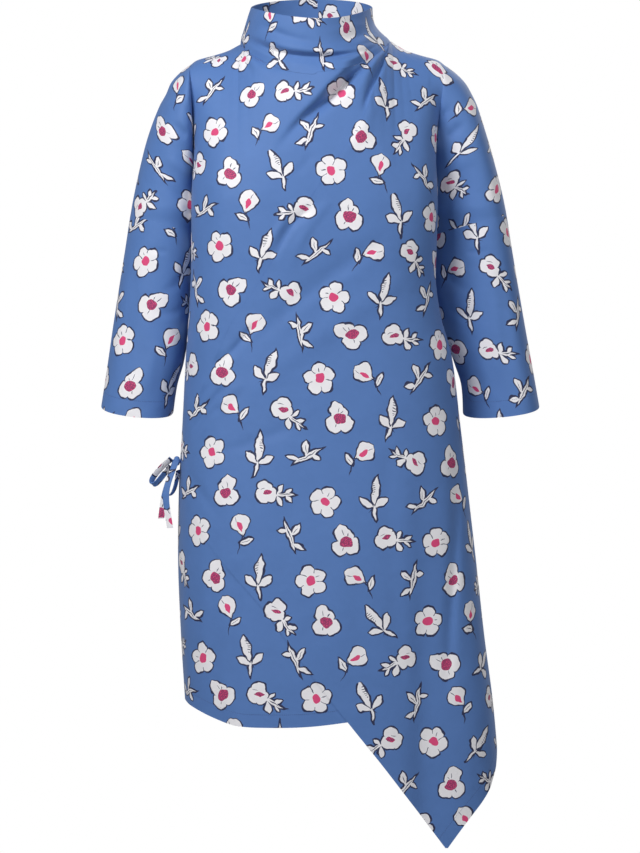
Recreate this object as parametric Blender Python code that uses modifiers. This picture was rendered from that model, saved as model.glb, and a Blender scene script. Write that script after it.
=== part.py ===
"""Wrap dress with a draped funnel neck, dropped shoulders and a long hem point.

The dress is filled out as if worn, with nobody in it. Metres, +Z up, the front faces -Y and the
wearer's left is +X. The origin is at the base of the neck, level with the shoulders that carry it.
Each panel is cut as a maker would cut it: it is one open sheet on the dress's form, and Solidify
gives it the thickness of the cloth.
"""

import math

import bmesh
import bpy
from mathutils import Vector

# Cloth
CLOTH = 0.0013
SEAM = 0.00045
LAP = 0.0028
SINK = 0.0012
PRINT_BLUE = (0.105, 0.215, 0.52, 1.0)

# The four quarter turns round the body, from the centre front towards the wearer's left
LEFT_SIDE = 1.0
BACK_MIDDLE = 2.0
RIGHT_SIDE = 3.0
QUARTER = math.pi / 2

# Body below the armpits: half widths to the wearer's right and left, depths, and how square it is
TORSO = [
    {"z": -0.22, "right": 0.1720, "left": 0.1635, "front": 0.130, "back": 0.104, "square": 3.1, "tuck": 0.014},
    {"z": -0.27, "right": 0.1725, "left": 0.1625, "front": 0.129, "back": 0.104, "square": 3.0, "tuck": 0.015},
    {"z": -0.32, "right": 0.1735, "left": 0.1615, "front": 0.126, "back": 0.104, "square": 2.9, "tuck": 0.013},
    {"z": -0.37, "right": 0.1760, "left": 0.1690, "front": 0.124, "back": 0.106, "square": 2.8, "tuck": 0.009},
    {"z": -0.42, "right": 0.1790, "left": 0.1825, "front": 0.123, "back": 0.110, "square": 2.7, "tuck": 0.005},
    {"z": -0.52, "right": 0.1830, "left": 0.1940, "front": 0.124, "back": 0.118, "square": 2.6, "tuck": 0.001},
    {"z": -0.60, "right": 0.1870, "left": 0.2030, "front": 0.127, "back": 0.124, "square": 2.5, "tuck": 0.0},
    {"z": -0.70, "right": 0.1880, "left": 0.2145, "front": 0.130, "back": 0.128, "square": 2.4, "tuck": 0.0},
    {"z": -0.80, "right": 0.1840, "left": 0.2255, "front": 0.131, "back": 0.129, "square": 2.4, "tuck": 0.0},
    {"z": -0.88, "right": 0.1790, "left": 0.2360, "front": 0.131, "back": 0.129, "square": 2.4, "tuck": 0.0},
    {"z": -0.95, "right": 0.1750, "left": 0.2425, "front": 0.130, "back": 0.128, "square": 2.4, "tuck": 0.0},
    {"z": -1.08, "right": 0.1700, "left": 0.2500, "front": 0.128, "back": 0.127, "square": 2.4, "tuck": 0.0},
]
ARMPIT = -0.22
SIDE_Y = 0.005
TUCK_TURN = 0.11
TUCK_WIDTH = 0.17

# Soft flutes of the skirt: where they start and how deep they are at the hem
FLUTES = [
    {"turn": 0.60, "width": 0.085, "depth": -0.011, "start": -0.46},
    {"turn": 0.80, "width": 0.090, "depth": 0.005, "start": -0.50},
    {"turn": -0.78, "width": 0.070, "depth": 0.003, "start": -0.60},
    {"turn": -0.60, "width": 0.070, "depth": -0.003, "start": -0.60},
    {"turn": 1.38, "width": 0.100, "depth": -0.010, "start": -0.40},
    {"turn": 1.78, "width": 0.110, "depth": 0.007, "start": -0.45},
    {"turn": 2.18, "width": 0.100, "depth": -0.009, "start": -0.42},
    {"turn": 2.60, "width": 0.100, "depth": 0.006, "start": -0.48},
]
FLUTE_FULL = -0.95

# Neckline and shoulders
NECK_TURN = 0.46
NECK_RIGHT = 0.104
NECK_LEFT = 0.098
NECK_FRONT = {"depth": 0.110, "drop": -0.051, "sweep": 1.5}
NECK_BACK = {"depth": 0.073, "drop": 0.010, "sweep": 1.0}
TIP_HALF = 0.172
SHOULDER = [
    {"x": 0.0980, "z": 0.0040},
    {"x": 0.1075, "z": -0.0010},
    {"x": 0.1210, "z": -0.0080},
    {"x": 0.1410, "z": -0.0145},
    {"x": 0.1625, "z": -0.0207},
    {"x": 0.1720, "z": -0.0275},
]
ARMHOLE_REACH = 0.30

# Upper arms and sleeves: the outline of the arm from outside, its inner line and its depth
ARM_OUT = [
    {"z": -0.0275, "right": 0.1720, "left": 0.1720},
    {"z": -0.0342, "right": 0.1820, "left": 0.1820},
    {"z": -0.0500, "right": 0.1970, "left": 0.1985},
    {"z": -0.0666, "right": 0.2045, "left": 0.2085},
    {"z": -0.0828, "right": 0.2135, "left": 0.2160},
    {"z": -0.1152, "right": 0.2262, "left": 0.2265},
    {"z": -0.1476, "right": 0.2357, "left": 0.2362},
    {"z": -0.2124, "right": 0.2500, "left": 0.2525},
    {"z": -0.2772, "right": 0.2605, "left": 0.2635},
    {"z": -0.3744, "right": 0.2760, "left": 0.2802},
    {"z": -0.4392, "right": 0.2855, "left": 0.2920},
    {"z": -0.5100, "right": 0.2965, "left": 0.3045},
]
ARM_IN = [
    {"z": -0.220, "right": 0.1640, "left": 0.1555},
    {"z": -0.270, "right": 0.1650, "left": 0.1560},
    {"z": -0.320, "right": 0.1690, "left": 0.1590},
    {"z": -0.380, "right": 0.1760, "left": 0.1725},
    {"z": -0.428, "right": 0.1830, "left": 0.1870},
    {"z": -0.460, "right": 0.1900, "left": 0.1950},
    {"z": -0.510, "right": 0.1970, "left": 0.1975},
]
ARM_DEPTH = [
    {"z": -0.0275, "front": 0.000, "back": 0.000, "middle": 0.005},
    {"z": -0.060, "front": 0.018, "back": 0.020, "middle": 0.005},
    {"z": -0.120, "front": 0.040, "back": 0.044, "middle": 0.008},
    {"z": -0.220, "front": 0.053, "back": 0.056, "middle": 0.012},
    {"z": -0.350, "front": 0.052, "back": 0.055, "middle": 0.018},
    {"z": -0.510, "front": 0.050, "back": 0.053, "middle": 0.022},
]
ARM_SEAM = {"outer": -0.231, "inner": -0.257}
CUFF = {"outer": -0.484, "front": -0.503, "inner": -0.494, "back": -0.480}

# Free edge of the outer front, from the neck to the tie at the right hip and on to the hem point
OUTER_EDGE = [
    {"z": 0.0040, "x": 0.0975},
    {"z": -0.0317, "x": 0.0885},
    {"z": -0.0612, "x": 0.0776},
    {"z": -0.1061, "x": 0.0615},
    {"z": -0.1396, "x": 0.0417},
    {"z": -0.1767, "x": 0.0167},
    {"z": -0.2202, "x": -0.0123},
    {"z": -0.2556, "x": -0.0347},
    {"z": -0.3028, "x": -0.0623},
    {"z": -0.3382, "x": -0.0848},
    {"z": -0.3814, "x": -0.1141},
    {"z": -0.4077, "x": -0.1261},
    {"z": -0.4591, "x": -0.1491},
    {"z": -0.4935, "x": -0.1657},
    {"z": -0.5470, "x": -0.1800},
    {"z": -0.5604, "x": -0.1822},
    {"z": -0.5750, "x": -0.1810},
    {"z": -0.6135, "x": -0.1725},
    {"z": -0.6486, "x": -0.1575},
    {"z": -0.6907, "x": -0.1287},
    {"z": -0.7545, "x": -0.0729},
    {"z": -0.8043, "x": -0.0360},
    {"z": -0.8568, "x": 0.0022},
    {"z": -0.9056, "x": 0.0403},
    {"z": -0.9652, "x": 0.0878},
    {"z": -1.0235, "x": 0.1317},
    {"z": -1.0740, "x": 0.1695},
]
# Hem of the outer front between the point and the left side seam
POINT_HEM = [
    {"z": -0.9470, "x": 0.2423},
    {"z": -0.9703, "x": 0.2393},
    {"z": -0.9849, "x": 0.2345},
    {"z": -0.9999, "x": 0.2287},
    {"z": -1.0148, "x": 0.2189},
    {"z": -1.0298, "x": 0.2066},
    {"z": -1.0451, "x": 0.1944},
    {"z": -1.0574, "x": 0.1850},
    {"z": -1.0740, "x": 0.1727},
]
SIDE_HEM = -0.947
POINT = -1.074
# Hidden free edge of the under front, below the outer one
UNDER_EDGE = [
    {"z": 0.004, "x": 0.0975},
    {"z": -0.020, "x": 0.0990},
    {"z": -0.060, "x": 0.106},
    {"z": -0.120, "x": 0.124},
    {"z": -0.220, "x": 0.135},
    {"z": -0.350, "x": 0.142},
    {"z": -0.500, "x": 0.150},
    {"z": -0.620, "x": 0.148},
    {"z": -0.780, "x": 0.132},
    {"z": -0.930, "x": 0.115},
]
UNDER_HEM = [
    {"x": -0.180, "z": -0.8800},
    {"x": -0.167, "z": -0.8884},
    {"x": -0.137, "z": -0.9022},
    {"x": -0.107, "z": -0.9111},
    {"x": -0.061, "z": -0.9127},
    {"x": -0.010, "z": -0.9110},
    {"x": 0.040, "z": -0.9051},
    {"x": 0.100, "z": -0.8960},
    {"x": 0.180, "z": -0.8840},
]
BACK_HEM = [
    {"turn": 1.00, "z": -0.947},
    {"turn": 1.12, "z": -0.925},
    {"turn": 1.35, "z": -0.902},
    {"turn": 1.65, "z": -0.888},
    {"turn": 2.00, "z": -0.884},
    {"turn": 2.50, "z": -0.881},
    {"turn": 3.00, "z": -0.880},
]

# Draped folds of the front: each runs from the neck downwards, soft above it and sharp below it
DRAPES = [
    {"x0": 0.092, "z0": -0.004, "x1": -0.058, "z1": -0.156, "deep0": 0.012, "deep1": 0.002, "soft": 0.020, "sharp": 0.008},
    {"x0": 0.093, "z0": -0.008, "x1": 0.069, "z1": -0.100, "deep0": 0.005, "deep1": 0.002, "soft": 0.012, "sharp": 0.008},
]

# Funnel neck, from its rim down to the neckline, with two swags across the front
COLLAR = [
    {"front_z": 0.025, "side_z": 0.050, "back_z": 0.069, "right": 0.0900, "left": 0.0745, "front": 0.093, "back": 0.063},
    {"front_z": 0.008, "side_z": 0.038, "back_z": 0.054, "right": 0.0940, "left": 0.0752, "front": 0.096, "back": 0.065},
    {"front_z": -0.008, "side_z": 0.028, "back_z": 0.041, "right": 0.0970, "left": 0.0775, "front": 0.101, "back": 0.067},
    {"front_z": -0.020, "side_z": 0.020, "back_z": 0.031, "right": 0.0995, "left": 0.0830, "front": 0.110, "back": 0.069},
    {"front_z": -0.028, "side_z": 0.014, "back_z": 0.025, "right": 0.1015, "left": 0.0890, "front": 0.103, "back": 0.070},
    {"front_z": -0.038, "side_z": 0.0095, "back_z": 0.019, "right": 0.1030, "left": 0.0945, "front": 0.116, "back": 0.0715},
]
COLLAR_RISE = 0.0006
CORNER_FADE = 0.14

# Tie at the right hip
TIE_LEVEL = -0.562
TIE_WIDTH = 0.008
TIE_CLOTH = 0.0012
KNOT_HALF = Vector((0.0048, 0.0042, 0.0062))

# Mesh steps
YOKE_STEPS = [0.0, 0.06, 0.15, 0.27, 0.40, 0.55, 0.70, 0.85]
BODY_ROWS = 17
OUTER_ROWS = [-0.245, -0.272, -0.301, -0.330, -0.360, -0.390, -0.420, -0.450, -0.480, -0.507, -0.530]
OUTER_ROWS += [-0.548, -0.562, -0.580, -0.605, -0.635, -0.670, -0.705, -0.740, -0.777, -0.815, -0.853]
OUTER_ROWS += [-0.890, -0.922, SIDE_HEM, -0.972, -0.992, -1.012, -1.032, -1.052, POINT]
NECK_COLUMNS = 8
SIDE_COLUMNS = 10
ARM_COLUMNS = 8
SLEEVE_ROWS = 7


def read(table, key, at, column):
    """The column's value at a place in the table, on a smooth curve through its rows."""
    rows = sorted(table, key=lambda row: row[key])
    keys = [row[key] for row in rows]
    values = [row[column] for row in rows]
    at = min(max(at, keys[0]), keys[-1])
    i = max(1, next((k for k in range(1, len(keys)) if at <= keys[k]), len(keys) - 1))
    span = keys[i] - keys[i - 1]

    def slope(k):
        before, after = max(k - 1, 0), min(k + 1, len(keys) - 1)
        return (values[after] - values[before]) / (keys[after] - keys[before])

    t = (at - keys[i - 1]) / span
    return hermite(t, values[i - 1], values[i], slope(i - 1) * span, slope(i) * span)


def hermite(t, start, end, leave, arrive):
    """A cubic from start to end with the given directions at its two ends."""
    return (
        (2 * t**3 - 3 * t**2 + 1) * start
        + (t**3 - 2 * t**2 + t) * leave
        + (3 * t**2 - 2 * t**3) * end
        + (t**3 - t**2) * arrive
    )


def ease(t):
    """0 to 1 with level ends."""
    t = min(max(t, 0.0), 1.0)
    return t * t * (3 - 2 * t)


def bell(distance, width):
    return math.exp(-((distance / width) ** 2))


def torso_point(turn, z):
    """A point of the body's form, that many quarter turns round from the centre front."""
    angle = turn * QUARTER
    across, along = math.sin(angle), math.cos(angle)
    half = read(TORSO, "z", z, "left" if across >= 0 else "right")
    deep = read(TORSO, "z", z, "front" if along >= 0 else "back")
    square = read(TORSO, "z", z, "square")
    reach = (abs(across / half) ** square + abs(along / deep) ** square) ** (-1 / square)
    from_side = abs((turn + 2) % 4 - 2) - LEFT_SIDE
    for flute in FLUTES:
        away = (turn - flute["turn"] + 2) % 4 - 2
        grown = ease((flute["start"] - z) / (flute["start"] - FLUTE_FULL))
        reach += flute["depth"] * grown * bell(away, flute["width"])
    x = reach * across
    x -= math.copysign(read(TORSO, "z", z, "tuck") * bell(from_side - TUCK_TURN, TUCK_WIDTH), across)
    return Vector((x, SIDE_Y - reach * along, z))


def neck_point(share, shape, side):
    """A point of the neckline: share is 0 at the middle of the front or back and 1 at its side."""
    angle = share * QUARTER
    facing = -1 if shape is NECK_FRONT else 1
    half = NECK_LEFT if side > 0 else NECK_RIGHT
    drop = shape["drop"] * max(math.cos(angle), 0.0) ** shape["sweep"]
    height = read(SHOULDER, "x", half, "z") + drop
    return Vector((side * half * math.sin(angle), SIDE_Y + facing * shape["depth"] * math.cos(angle), height))


def from_middle(turn, front):
    """How far a turn is from the middle of the front or the back, and the side that it is on."""
    wrapped = (turn + 2) % 4 - 2
    return (abs(wrapped) if front else BACK_MIDDLE - abs(wrapped)), (1 if wrapped >= 0 else -1)


def top_of(turn, front):
    """Where a column of the body starts, on the neckline or the shoulder seam, and its direction there."""
    off, side = from_middle(turn, front)
    facing = -1 if front else 1
    if off < NECK_TURN:
        share = off / NECK_TURN
        point = neck_point(share, NECK_FRONT if front else NECK_BACK, side)
        middle_way = Vector((0.0, facing * 0.045, -0.13))
        way = middle_way.lerp(Vector((0.0, facing * 0.18, -0.02)), math.sin(share * QUARTER) ** 2)
    else:
        share = min((off - NECK_TURN) / (LEFT_SIDE - NECK_TURN), 1.0)
        neck = NECK_LEFT if side > 0 else NECK_RIGHT
        x = neck + share * (TIP_HALF - neck)
        point = Vector((side * x, SIDE_Y, read(SHOULDER, "x", x, "z")))
        way = Vector((0.0, facing * (0.18 + (ARMHOLE_REACH - 0.18) * share), -0.02))
    return point, way


def drape(x, z):
    """How far the draped folds lift the front at a place seen from the front."""
    lift = 0.0
    for fold in DRAPES:
        run = Vector((fold["x1"] - fold["x0"], fold["z1"] - fold["z0"]))
        to = Vector((x - fold["x0"], z - fold["z0"]))
        t = to.dot(run) / run.length_squared
        away = (to.x * run.y - to.y * run.x) / run.length
        width = fold["soft"] if away > 0 else fold["sharp"]
        deep = fold["deep0"] + (fold["deep1"] - fold["deep0"]) * min(max(t, 0.0), 1.0)
        ends = ease(t / 0.15) * ease((1.1 - t) / 0.35)
        lift += deep * ends * bell(away, width)
    return lift


def body_point(turn, down, front=True):
    """The dress's form: down from -1 at the neckline and shoulder to 0 at the armpits, then metres below."""
    if down >= 0:
        point = torso_point(turn, ARMPIT - down)
    else:
        top, way = top_of(turn, front)
        point = hermite(1 + down, top, torso_point(turn, ARMPIT), way, Vector((0, 0, -0.20)))
    if front:
        point.y -= drape(point.x, point.z)
    return point


def outward(turn, down, front=True):
    """The direction straight out of the form."""
    step = 0.004
    round_way = body_point(turn + step, down, front) - body_point(turn - step, down, front)
    low, high = max(down - step, -1.0), down + step
    down_way = body_point(turn, high, front) - body_point(turn, low, front)
    return down_way.cross(round_way).normalized()


def turn_at(table, down, low, high):
    """The turn at which the form crosses the edge that the table gives, in that row of the form."""
    for _ in range(40):
        middle = (low + high) / 2
        point = body_point(middle, down)
        if point.x < read(table, "z", point.z, "x"):
            low = middle
        else:
            high = middle
    return (low + high) / 2


def seamed(point, facing, hold=SEAM):
    """A point on a seam, held back by the seam's gap."""
    return Vector((point.x, point.y + facing * hold, point.z))


def stations(front):
    """The turns at which the front or the back has its columns, from one side seam to the other."""
    half = [NECK_TURN * i / NECK_COLUMNS for i in range(NECK_COLUMNS + 1)]
    half += [NECK_TURN + (LEFT_SIDE - NECK_TURN) * i / SIDE_COLUMNS for i in range(1, SIDE_COLUMNS + 1)]
    turns = [-turn for turn in half[:0:-1]] + half
    return turns if front else [BACK_MIDDLE + turn for turn in turns]


def panel_row(down, facing, start=None, end=None, lap=0.0, sink=0.0):
    """A row of a panel at the stations between its ends, which are side seams or free edges."""
    front = facing < 0
    turns = stations(front)
    margin = 0.012
    if start is not None:
        turns = [start if turn < start + margin else turn for turn in turns]
    if end is not None:
        turns = [end if turn > end - margin else turn for turn in turns]
    row = []
    for turn in turns:
        at_side = turn in (-LEFT_SIDE, LEFT_SIDE, RIGHT_SIDE)
        point = body_point(turn, down, front)
        if sink:
            hidden = ease((turn - turn_at(OUTER_EDGE, down, -0.97, 0.98)) / 0.05)
            point -= outward(turn, max(down, -0.99)) * sink * hidden
        if lap:
            corner = ease((NECK_TURN + CORNER_FADE - turn) / CORNER_FADE)
            settled = corner + (1 - corner) * ease((1 + down) / 0.1)
            out = outward(min(turn, 0.97), max(down, -0.99))
            point += out * lap * settled * ease((LEFT_SIDE - turn) / 0.3)
        if at_side and down == 0:
            point = seamed(point, facing, SEAM + CLOTH)
        elif at_side or (down == -1 and from_middle(turn, front)[0] > NECK_TURN - 0.01):
            point = seamed(point, facing)
        row.append(point)
    return row


def arm_arc(inner, side, facing, z_of):
    """Half of an arm's section, from its inner line to its outer seam, on the front or the back."""
    arc = []
    for i in range(ARM_COLUMNS + 1):
        share = (1 - math.cos(math.pi * i / ARM_COLUMNS)) / 2
        z = z_of(share)
        out = read(ARM_OUT, "z", z, "left" if side > 0 else "right")
        middle = read(ARM_DEPTH, "z", z, "middle")
        bulge = read(ARM_DEPTH, "z", z, "front" if facing < 0 else "back")
        if inner is None:
            start_x, start_y = read(ARM_IN, "z", z, "left" if side > 0 else "right"), middle
        else:
            start_x, start_y = abs(inner.x), inner.y - facing * SEAM
        x = start_x + (out - start_x) * share
        y = start_y + (middle - start_y) * share
        y += facing * (bulge * math.sin(math.pi * i / ARM_COLUMNS) + SEAM)
        arc.append(Vector((side * x, y, z)))
    if inner is not None:
        arc[0] = inner.copy()
    return arc


def upper_arm_rows(inner_line, side, facing):
    """The upper arm that is cut in one with a body panel, from the shoulder to the sleeve's seam."""
    rows = [arm_arc(point, side, facing, lambda share, z=point.z: z) for point in inner_line[1:]]
    rows.insert(0, [inner_line[0].copy() for _ in rows[0]])
    for step in (0.5, 1.0):

        def z_of(share, step=step):
            seam = ARM_SEAM["inner"] + (ARM_SEAM["outer"] - ARM_SEAM["inner"]) * share
            return ARMPIT + (seam - ARMPIT) * step

        rows.append(arm_arc(None, side, facing, z_of))
    turned = side * facing > 0
    return [row[::-1] if turned else row for row in rows]


def cloth_material(name, colour=PRINT_BLUE):
    material = bpy.data.materials.new(name)
    material.use_nodes = True
    shader = material.node_tree.nodes["Principled BSDF"]
    shader.inputs["Base Color"].default_value = colour
    shader.inputs["Roughness"].default_value = 0.75
    shader.inputs["Metallic"].default_value = 0.0
    return material


def sheet(name, grids, closed=False, thickness=CLOTH):
    """One piece of cloth from grids of points that share their common edges."""
    shape = bmesh.new()
    for rows in grids:
        grid = [[shape.verts.new(point) for point in row] for row in rows]
        columns = len(grid[0])
        for upper, lower in zip(grid, grid[1:]):
            for i in range(columns if closed else columns - 1):
                j = (i + 1) % columns
                shape.faces.new((upper[i], lower[i], lower[j], upper[j]))
    bmesh.ops.remove_doubles(shape, verts=shape.verts, dist=0.00005)
    mesh = bpy.data.meshes.new(name)
    shape.to_mesh(mesh)
    shape.free()
    mesh.shade_smooth()
    piece = bpy.data.objects.new(name, mesh)
    piece.data.materials.append(cloth_material(name))
    wall = piece.modifiers.new("Cloth", "SOLIDIFY")
    wall.thickness = thickness
    wall.offset = -1
    DRESS.objects.link(piece)
    return piece


def outer_front():
    """The left front: it wraps over to the right hip, and its hem falls to the long point."""
    rows = []
    for down in [step - 1 for step in YOKE_STEPS] + [0.0] + [ARMPIT - z for z in OUTER_ROWS]:
        start = NECK_TURN + 0.004 if down == -1 else turn_at(OUTER_EDGE, down, -0.97, 0.98)
        end = turn_at(POINT_HEM, down, 0.2, 1.0) if down > ARMPIT - SIDE_HEM else None
        rows.append(panel_row(down, -1, start, end, LAP))
    inner_line = [row[-1] for row in rows[: len(YOKE_STEPS) + 1]]
    return sheet("front_outer", [rows, upper_arm_rows(inner_line, 1, -1)])


def under_front():
    """The right front: it carries the drape of the neck and goes on hidden under the outer front."""
    rows = []
    for down in [step - 1 for step in YOKE_STEPS] + [0.0]:
        end = NECK_TURN - 0.004 if down == -1 else turn_at(UNDER_EDGE, down, 0.0, 0.98)
        rows.append(panel_row(down, -1, None, end, 0.0, SINK))
    for k in range(1, BODY_ROWS + 1):
        share = k / BODY_ROWS
        level = share * (UNDER_HEM[4]["z"] - ARMPIT)
        row = panel_row(-level, -1, None, turn_at(UNDER_EDGE, -level, 0.0, 0.98), 0.0, SINK)
        for point in row:
            hem = read(UNDER_HEM, "x", point.x, "z")
            point.z = ARMPIT + share * (hem - ARMPIT)
        rows.append(row)
    inner_line = [row[0] for row in rows[: len(YOKE_STEPS) + 1]]
    return sheet("front_under", [rows, upper_arm_rows(inner_line, -1, -1)])


def back():
    """The back, with the backs of both upper arms cut in one with it."""
    rows = [panel_row(step - 1, 1) for step in YOKE_STEPS + [1.0]]
    for k in range(1, BODY_ROWS + 1):
        row = []
        for turn in stations(False):
            hem = read(BACK_HEM, "turn", turn, "z")
            row.append(body_point(turn, k / BODY_ROWS * (ARMPIT - hem), False))
        row[0], row[-1] = seamed(row[0], 1), seamed(row[-1], 1)
        rows.append(row)
    arms = [
        upper_arm_rows([row[0] for row in rows[: len(YOKE_STEPS) + 1]], 1, 1),
        upper_arm_rows([row[-1] for row in rows[: len(YOKE_STEPS) + 1]], -1, 1),
    ]
    return sheet("back", [rows] + arms)


def sleeve(name, side):
    """A three-quarter sleeve from the seam on the upper arm to its wide open end."""
    rows = []
    around = 2 * ARM_COLUMNS
    for k in range(SLEEVE_ROWS + 1):
        step = k / SLEEVE_ROWS
        row = []
        for i in range(around):
            angle = side * 2 * math.pi * i / around
            share = (1 - math.cos(angle)) / 2
            facing = -1 if math.sin(angle * side) >= 0 else 1
            seam = ARM_SEAM["inner"] + (ARM_SEAM["outer"] - ARM_SEAM["inner"]) * share - 2 * SEAM
            end = CUFF["inner"] + (CUFF["outer"] - CUFF["inner"]) * share
            rim = CUFF["front"] if facing < 0 else CUFF["back"]
            end += (rim - (CUFF["inner"] + CUFF["outer"]) / 2) * abs(math.sin(angle))
            z = seam + (end - seam) * step
            out = read(ARM_OUT, "z", z, "left" if side > 0 else "right")
            start = read(ARM_IN, "z", z, "left" if side > 0 else "right")
            bulge = read(ARM_DEPTH, "z", z, "front" if facing < 0 else "back")
            y = read(ARM_DEPTH, "z", z, "middle") + facing * bulge * abs(math.sin(angle))
            row.append(Vector((side * (start + (out - start) * share), y, z)))
        rows.append(row)
    return sheet(name, [rows], closed=True)


def collar_point(row, turn):
    """A point of one ring of the funnel neck."""
    angle = turn * QUARTER
    across, along = math.sin(angle), math.cos(angle)
    half = row["left"] if across >= 0 else row["right"]
    deep = row["front"] if along >= 0 else row["back"]
    middle = row["front_z"] if along >= 0 else row["back_z"]
    lean = abs(along) ** (1.5 if along >= 0 else 1.0)
    return Vector((half * across, SIDE_Y - deep * along, row["side_z"] + (middle - row["side_z"]) * lean))


def collar():
    """The funnel neck, a closed ring whose front falls in two swags onto the neckline."""
    turns = [i / NECK_COLUMNS for i in range(4 * NECK_COLUMNS)]
    rows = [[collar_point(row, turn) for turn in turns] for row in COLLAR]
    base = []
    for turn in turns:
        front = abs((turn + 2) % 4 - 2) <= LEFT_SIDE
        share, side = from_middle(turn, front)
        point = neck_point(share, NECK_FRONT if front else NECK_BACK, side)
        corner = bell((turn + 2) % 4 - 2 - LEFT_SIDE, CORNER_FADE / NECK_TURN)
        base.append(point + Vector((0, 0, COLLAR_RISE + LAP * corner)))
    return sheet("collar", [rows + [base]], closed=True)


def smooth_path(points, count):
    """Evenly numbered points on a smooth curve through the given ones."""
    path = []
    last = len(points) - 1
    for k in range(count + 1):
        at = k / count * last
        i = min(int(at), last - 1)
        leave = (points[i + 1] - points[max(i - 1, 0)]) / (2 if i > 0 else 1)
        arrive = (points[min(i + 2, last)] - points[i]) / (2 if i + 2 <= last else 1)
        path.append(hermite(at - i, points[i], points[i + 1], leave, arrive))
    return path


def band(name, knot, stops, across, count):
    """A narrow flat tie along a path that is given from the middle of the knot."""
    half = Vector(across).normalized() * TIE_WIDTH / 2
    path = smooth_path([knot + Vector(stop) for stop in stops], count)
    piece = sheet(name, [[[point - half, point + half] for point in path]], thickness=TIE_CLOTH)
    piece.modifiers["Cloth"].offset = 0
    return piece


def tie():
    """The bow at the right hip: a knot against the corner of the outer front, two loops and two ends."""
    down = ARMPIT - TIE_LEVEL
    turn = turn_at(OUTER_EDGE, down, -0.97, 0.98)
    centre = body_point(turn, down) + outward(turn, down) * (LAP + SEAM + KNOT_HALF.x)
    bpy.ops.mesh.primitive_uv_sphere_add(segments=12, ring_count=8, radius=1, location=centre)
    knot = bpy.context.object
    knot.name = "tie_knot"
    knot.scale = KNOT_HALF
    bpy.ops.object.transform_apply(location=False, rotation=False, scale=True)
    knot.data.materials.append(cloth_material("tie_knot"))
    for old in list(knot.users_collection):
        old.objects.unlink(knot)
    DRESS.objects.link(knot)
    upper = [(-0.0072, 0, 0.0032), (-0.0190, 0, -0.0070), (-0.0290, 0, -0.0180), (-0.0340, 0, -0.0265)]
    upper += [(-0.0330, 0, -0.0320), (-0.0265, 0, -0.0290), (-0.0170, 0, -0.0175), (-0.0080, 0, -0.0070)]
    band("tie_loop_upper", centre, upper, (0.60, 0.60, -0.53), 18)
    lower = [(-0.0030, 0, -0.0068), (-0.0085, 0, -0.0215), (-0.0130, 0, -0.0345), (-0.0145, 0, -0.0430)]
    lower += [(-0.0110, 0, -0.0470), (-0.0050, 0, -0.0415), (-0.0008, 0, -0.0290), (0.0018, 0, -0.0125)]
    band("tie_loop_lower", centre, lower, (0.55, 0.80, 0.20), 18)
    long_end = [(-0.0012, -0.0053, -0.0005), (-0.0140, -0.0075, -0.0430), (-0.0090, -0.0070, -0.0898)]
    band("tie_end_long", centre, long_end, (0.95, -0.31, 0.0), 8)
    short_end = [(-0.0022, 0.0061, -0.0005), (-0.0160, 0.0080, -0.0430), (-0.0214, 0.0075, -0.0777)]
    band("tie_end_short", centre, short_end, (0.95, -0.31, 0.0), 8)


for thing in list(bpy.data.objects):
    bpy.data.objects.remove(thing)
DRESS = bpy.data.collections.new("wrap_dress")
bpy.context.scene.collection.children.link(DRESS)
under_front()
outer_front()
back()
sleeve("sleeve_right", -1)
sleeve("sleeve_left", 1)
collar()
tie()
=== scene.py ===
# %% [markdown]
# # A wrap dress, filled out as if it were worn
#
# The dress is made of thin printed cloth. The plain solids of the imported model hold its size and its
# form. This lesson makes each cut panel again as a fine, creased sheet on the same form, prints
# flowers on it, and sets up a pale studio. Everything is in metres, +Z is up, the front faces -Y and
# the wearer's left is +X.

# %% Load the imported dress
import math

import bmesh
import bpy
import numpy as np
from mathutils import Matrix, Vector, kdtree


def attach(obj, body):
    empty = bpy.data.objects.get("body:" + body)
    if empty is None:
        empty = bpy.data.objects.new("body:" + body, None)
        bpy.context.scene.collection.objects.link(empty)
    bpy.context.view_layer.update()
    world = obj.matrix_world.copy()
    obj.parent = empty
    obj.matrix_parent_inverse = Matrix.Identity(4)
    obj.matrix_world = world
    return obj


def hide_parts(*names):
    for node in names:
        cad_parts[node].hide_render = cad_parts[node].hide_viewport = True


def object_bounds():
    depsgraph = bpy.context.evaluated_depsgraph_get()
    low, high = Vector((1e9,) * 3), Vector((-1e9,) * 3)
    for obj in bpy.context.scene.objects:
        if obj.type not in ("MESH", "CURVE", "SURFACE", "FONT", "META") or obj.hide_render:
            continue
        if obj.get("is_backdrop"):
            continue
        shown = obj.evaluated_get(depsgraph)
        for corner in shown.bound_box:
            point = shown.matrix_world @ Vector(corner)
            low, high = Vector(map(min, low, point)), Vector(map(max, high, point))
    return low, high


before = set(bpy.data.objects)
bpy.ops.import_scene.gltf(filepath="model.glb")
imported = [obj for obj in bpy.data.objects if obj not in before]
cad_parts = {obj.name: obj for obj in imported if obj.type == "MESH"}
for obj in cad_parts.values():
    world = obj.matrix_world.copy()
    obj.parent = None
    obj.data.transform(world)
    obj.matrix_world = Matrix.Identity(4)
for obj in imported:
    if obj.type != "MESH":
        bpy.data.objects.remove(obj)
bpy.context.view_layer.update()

# %% [markdown]
# ## Camera, light and floor
#
# The photograph looks straight at the front from the height of the hips, through a long lens. The
# light is soft and comes mostly from the upper left, so each fold is light on its upper left and
# dark on its lower right. The world is white to the camera and dimmer as a light, so that the
# lamps still model the folds.

# %% Camera
bpy.ops.object.select_all(action="DESELECT")
bpy.ops.object.camera_add(location=(0.0035, -5.0, -0.5155), rotation=(math.pi / 2, 0, 0))
camera = bpy.context.object
camera.name = "Studio camera"
camera.data.lens = 156.3
camera.data.sensor_width = 36
bpy.context.scene.camera = camera
print("camera at", tuple(round(v, 3) for v in camera.location))


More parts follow.
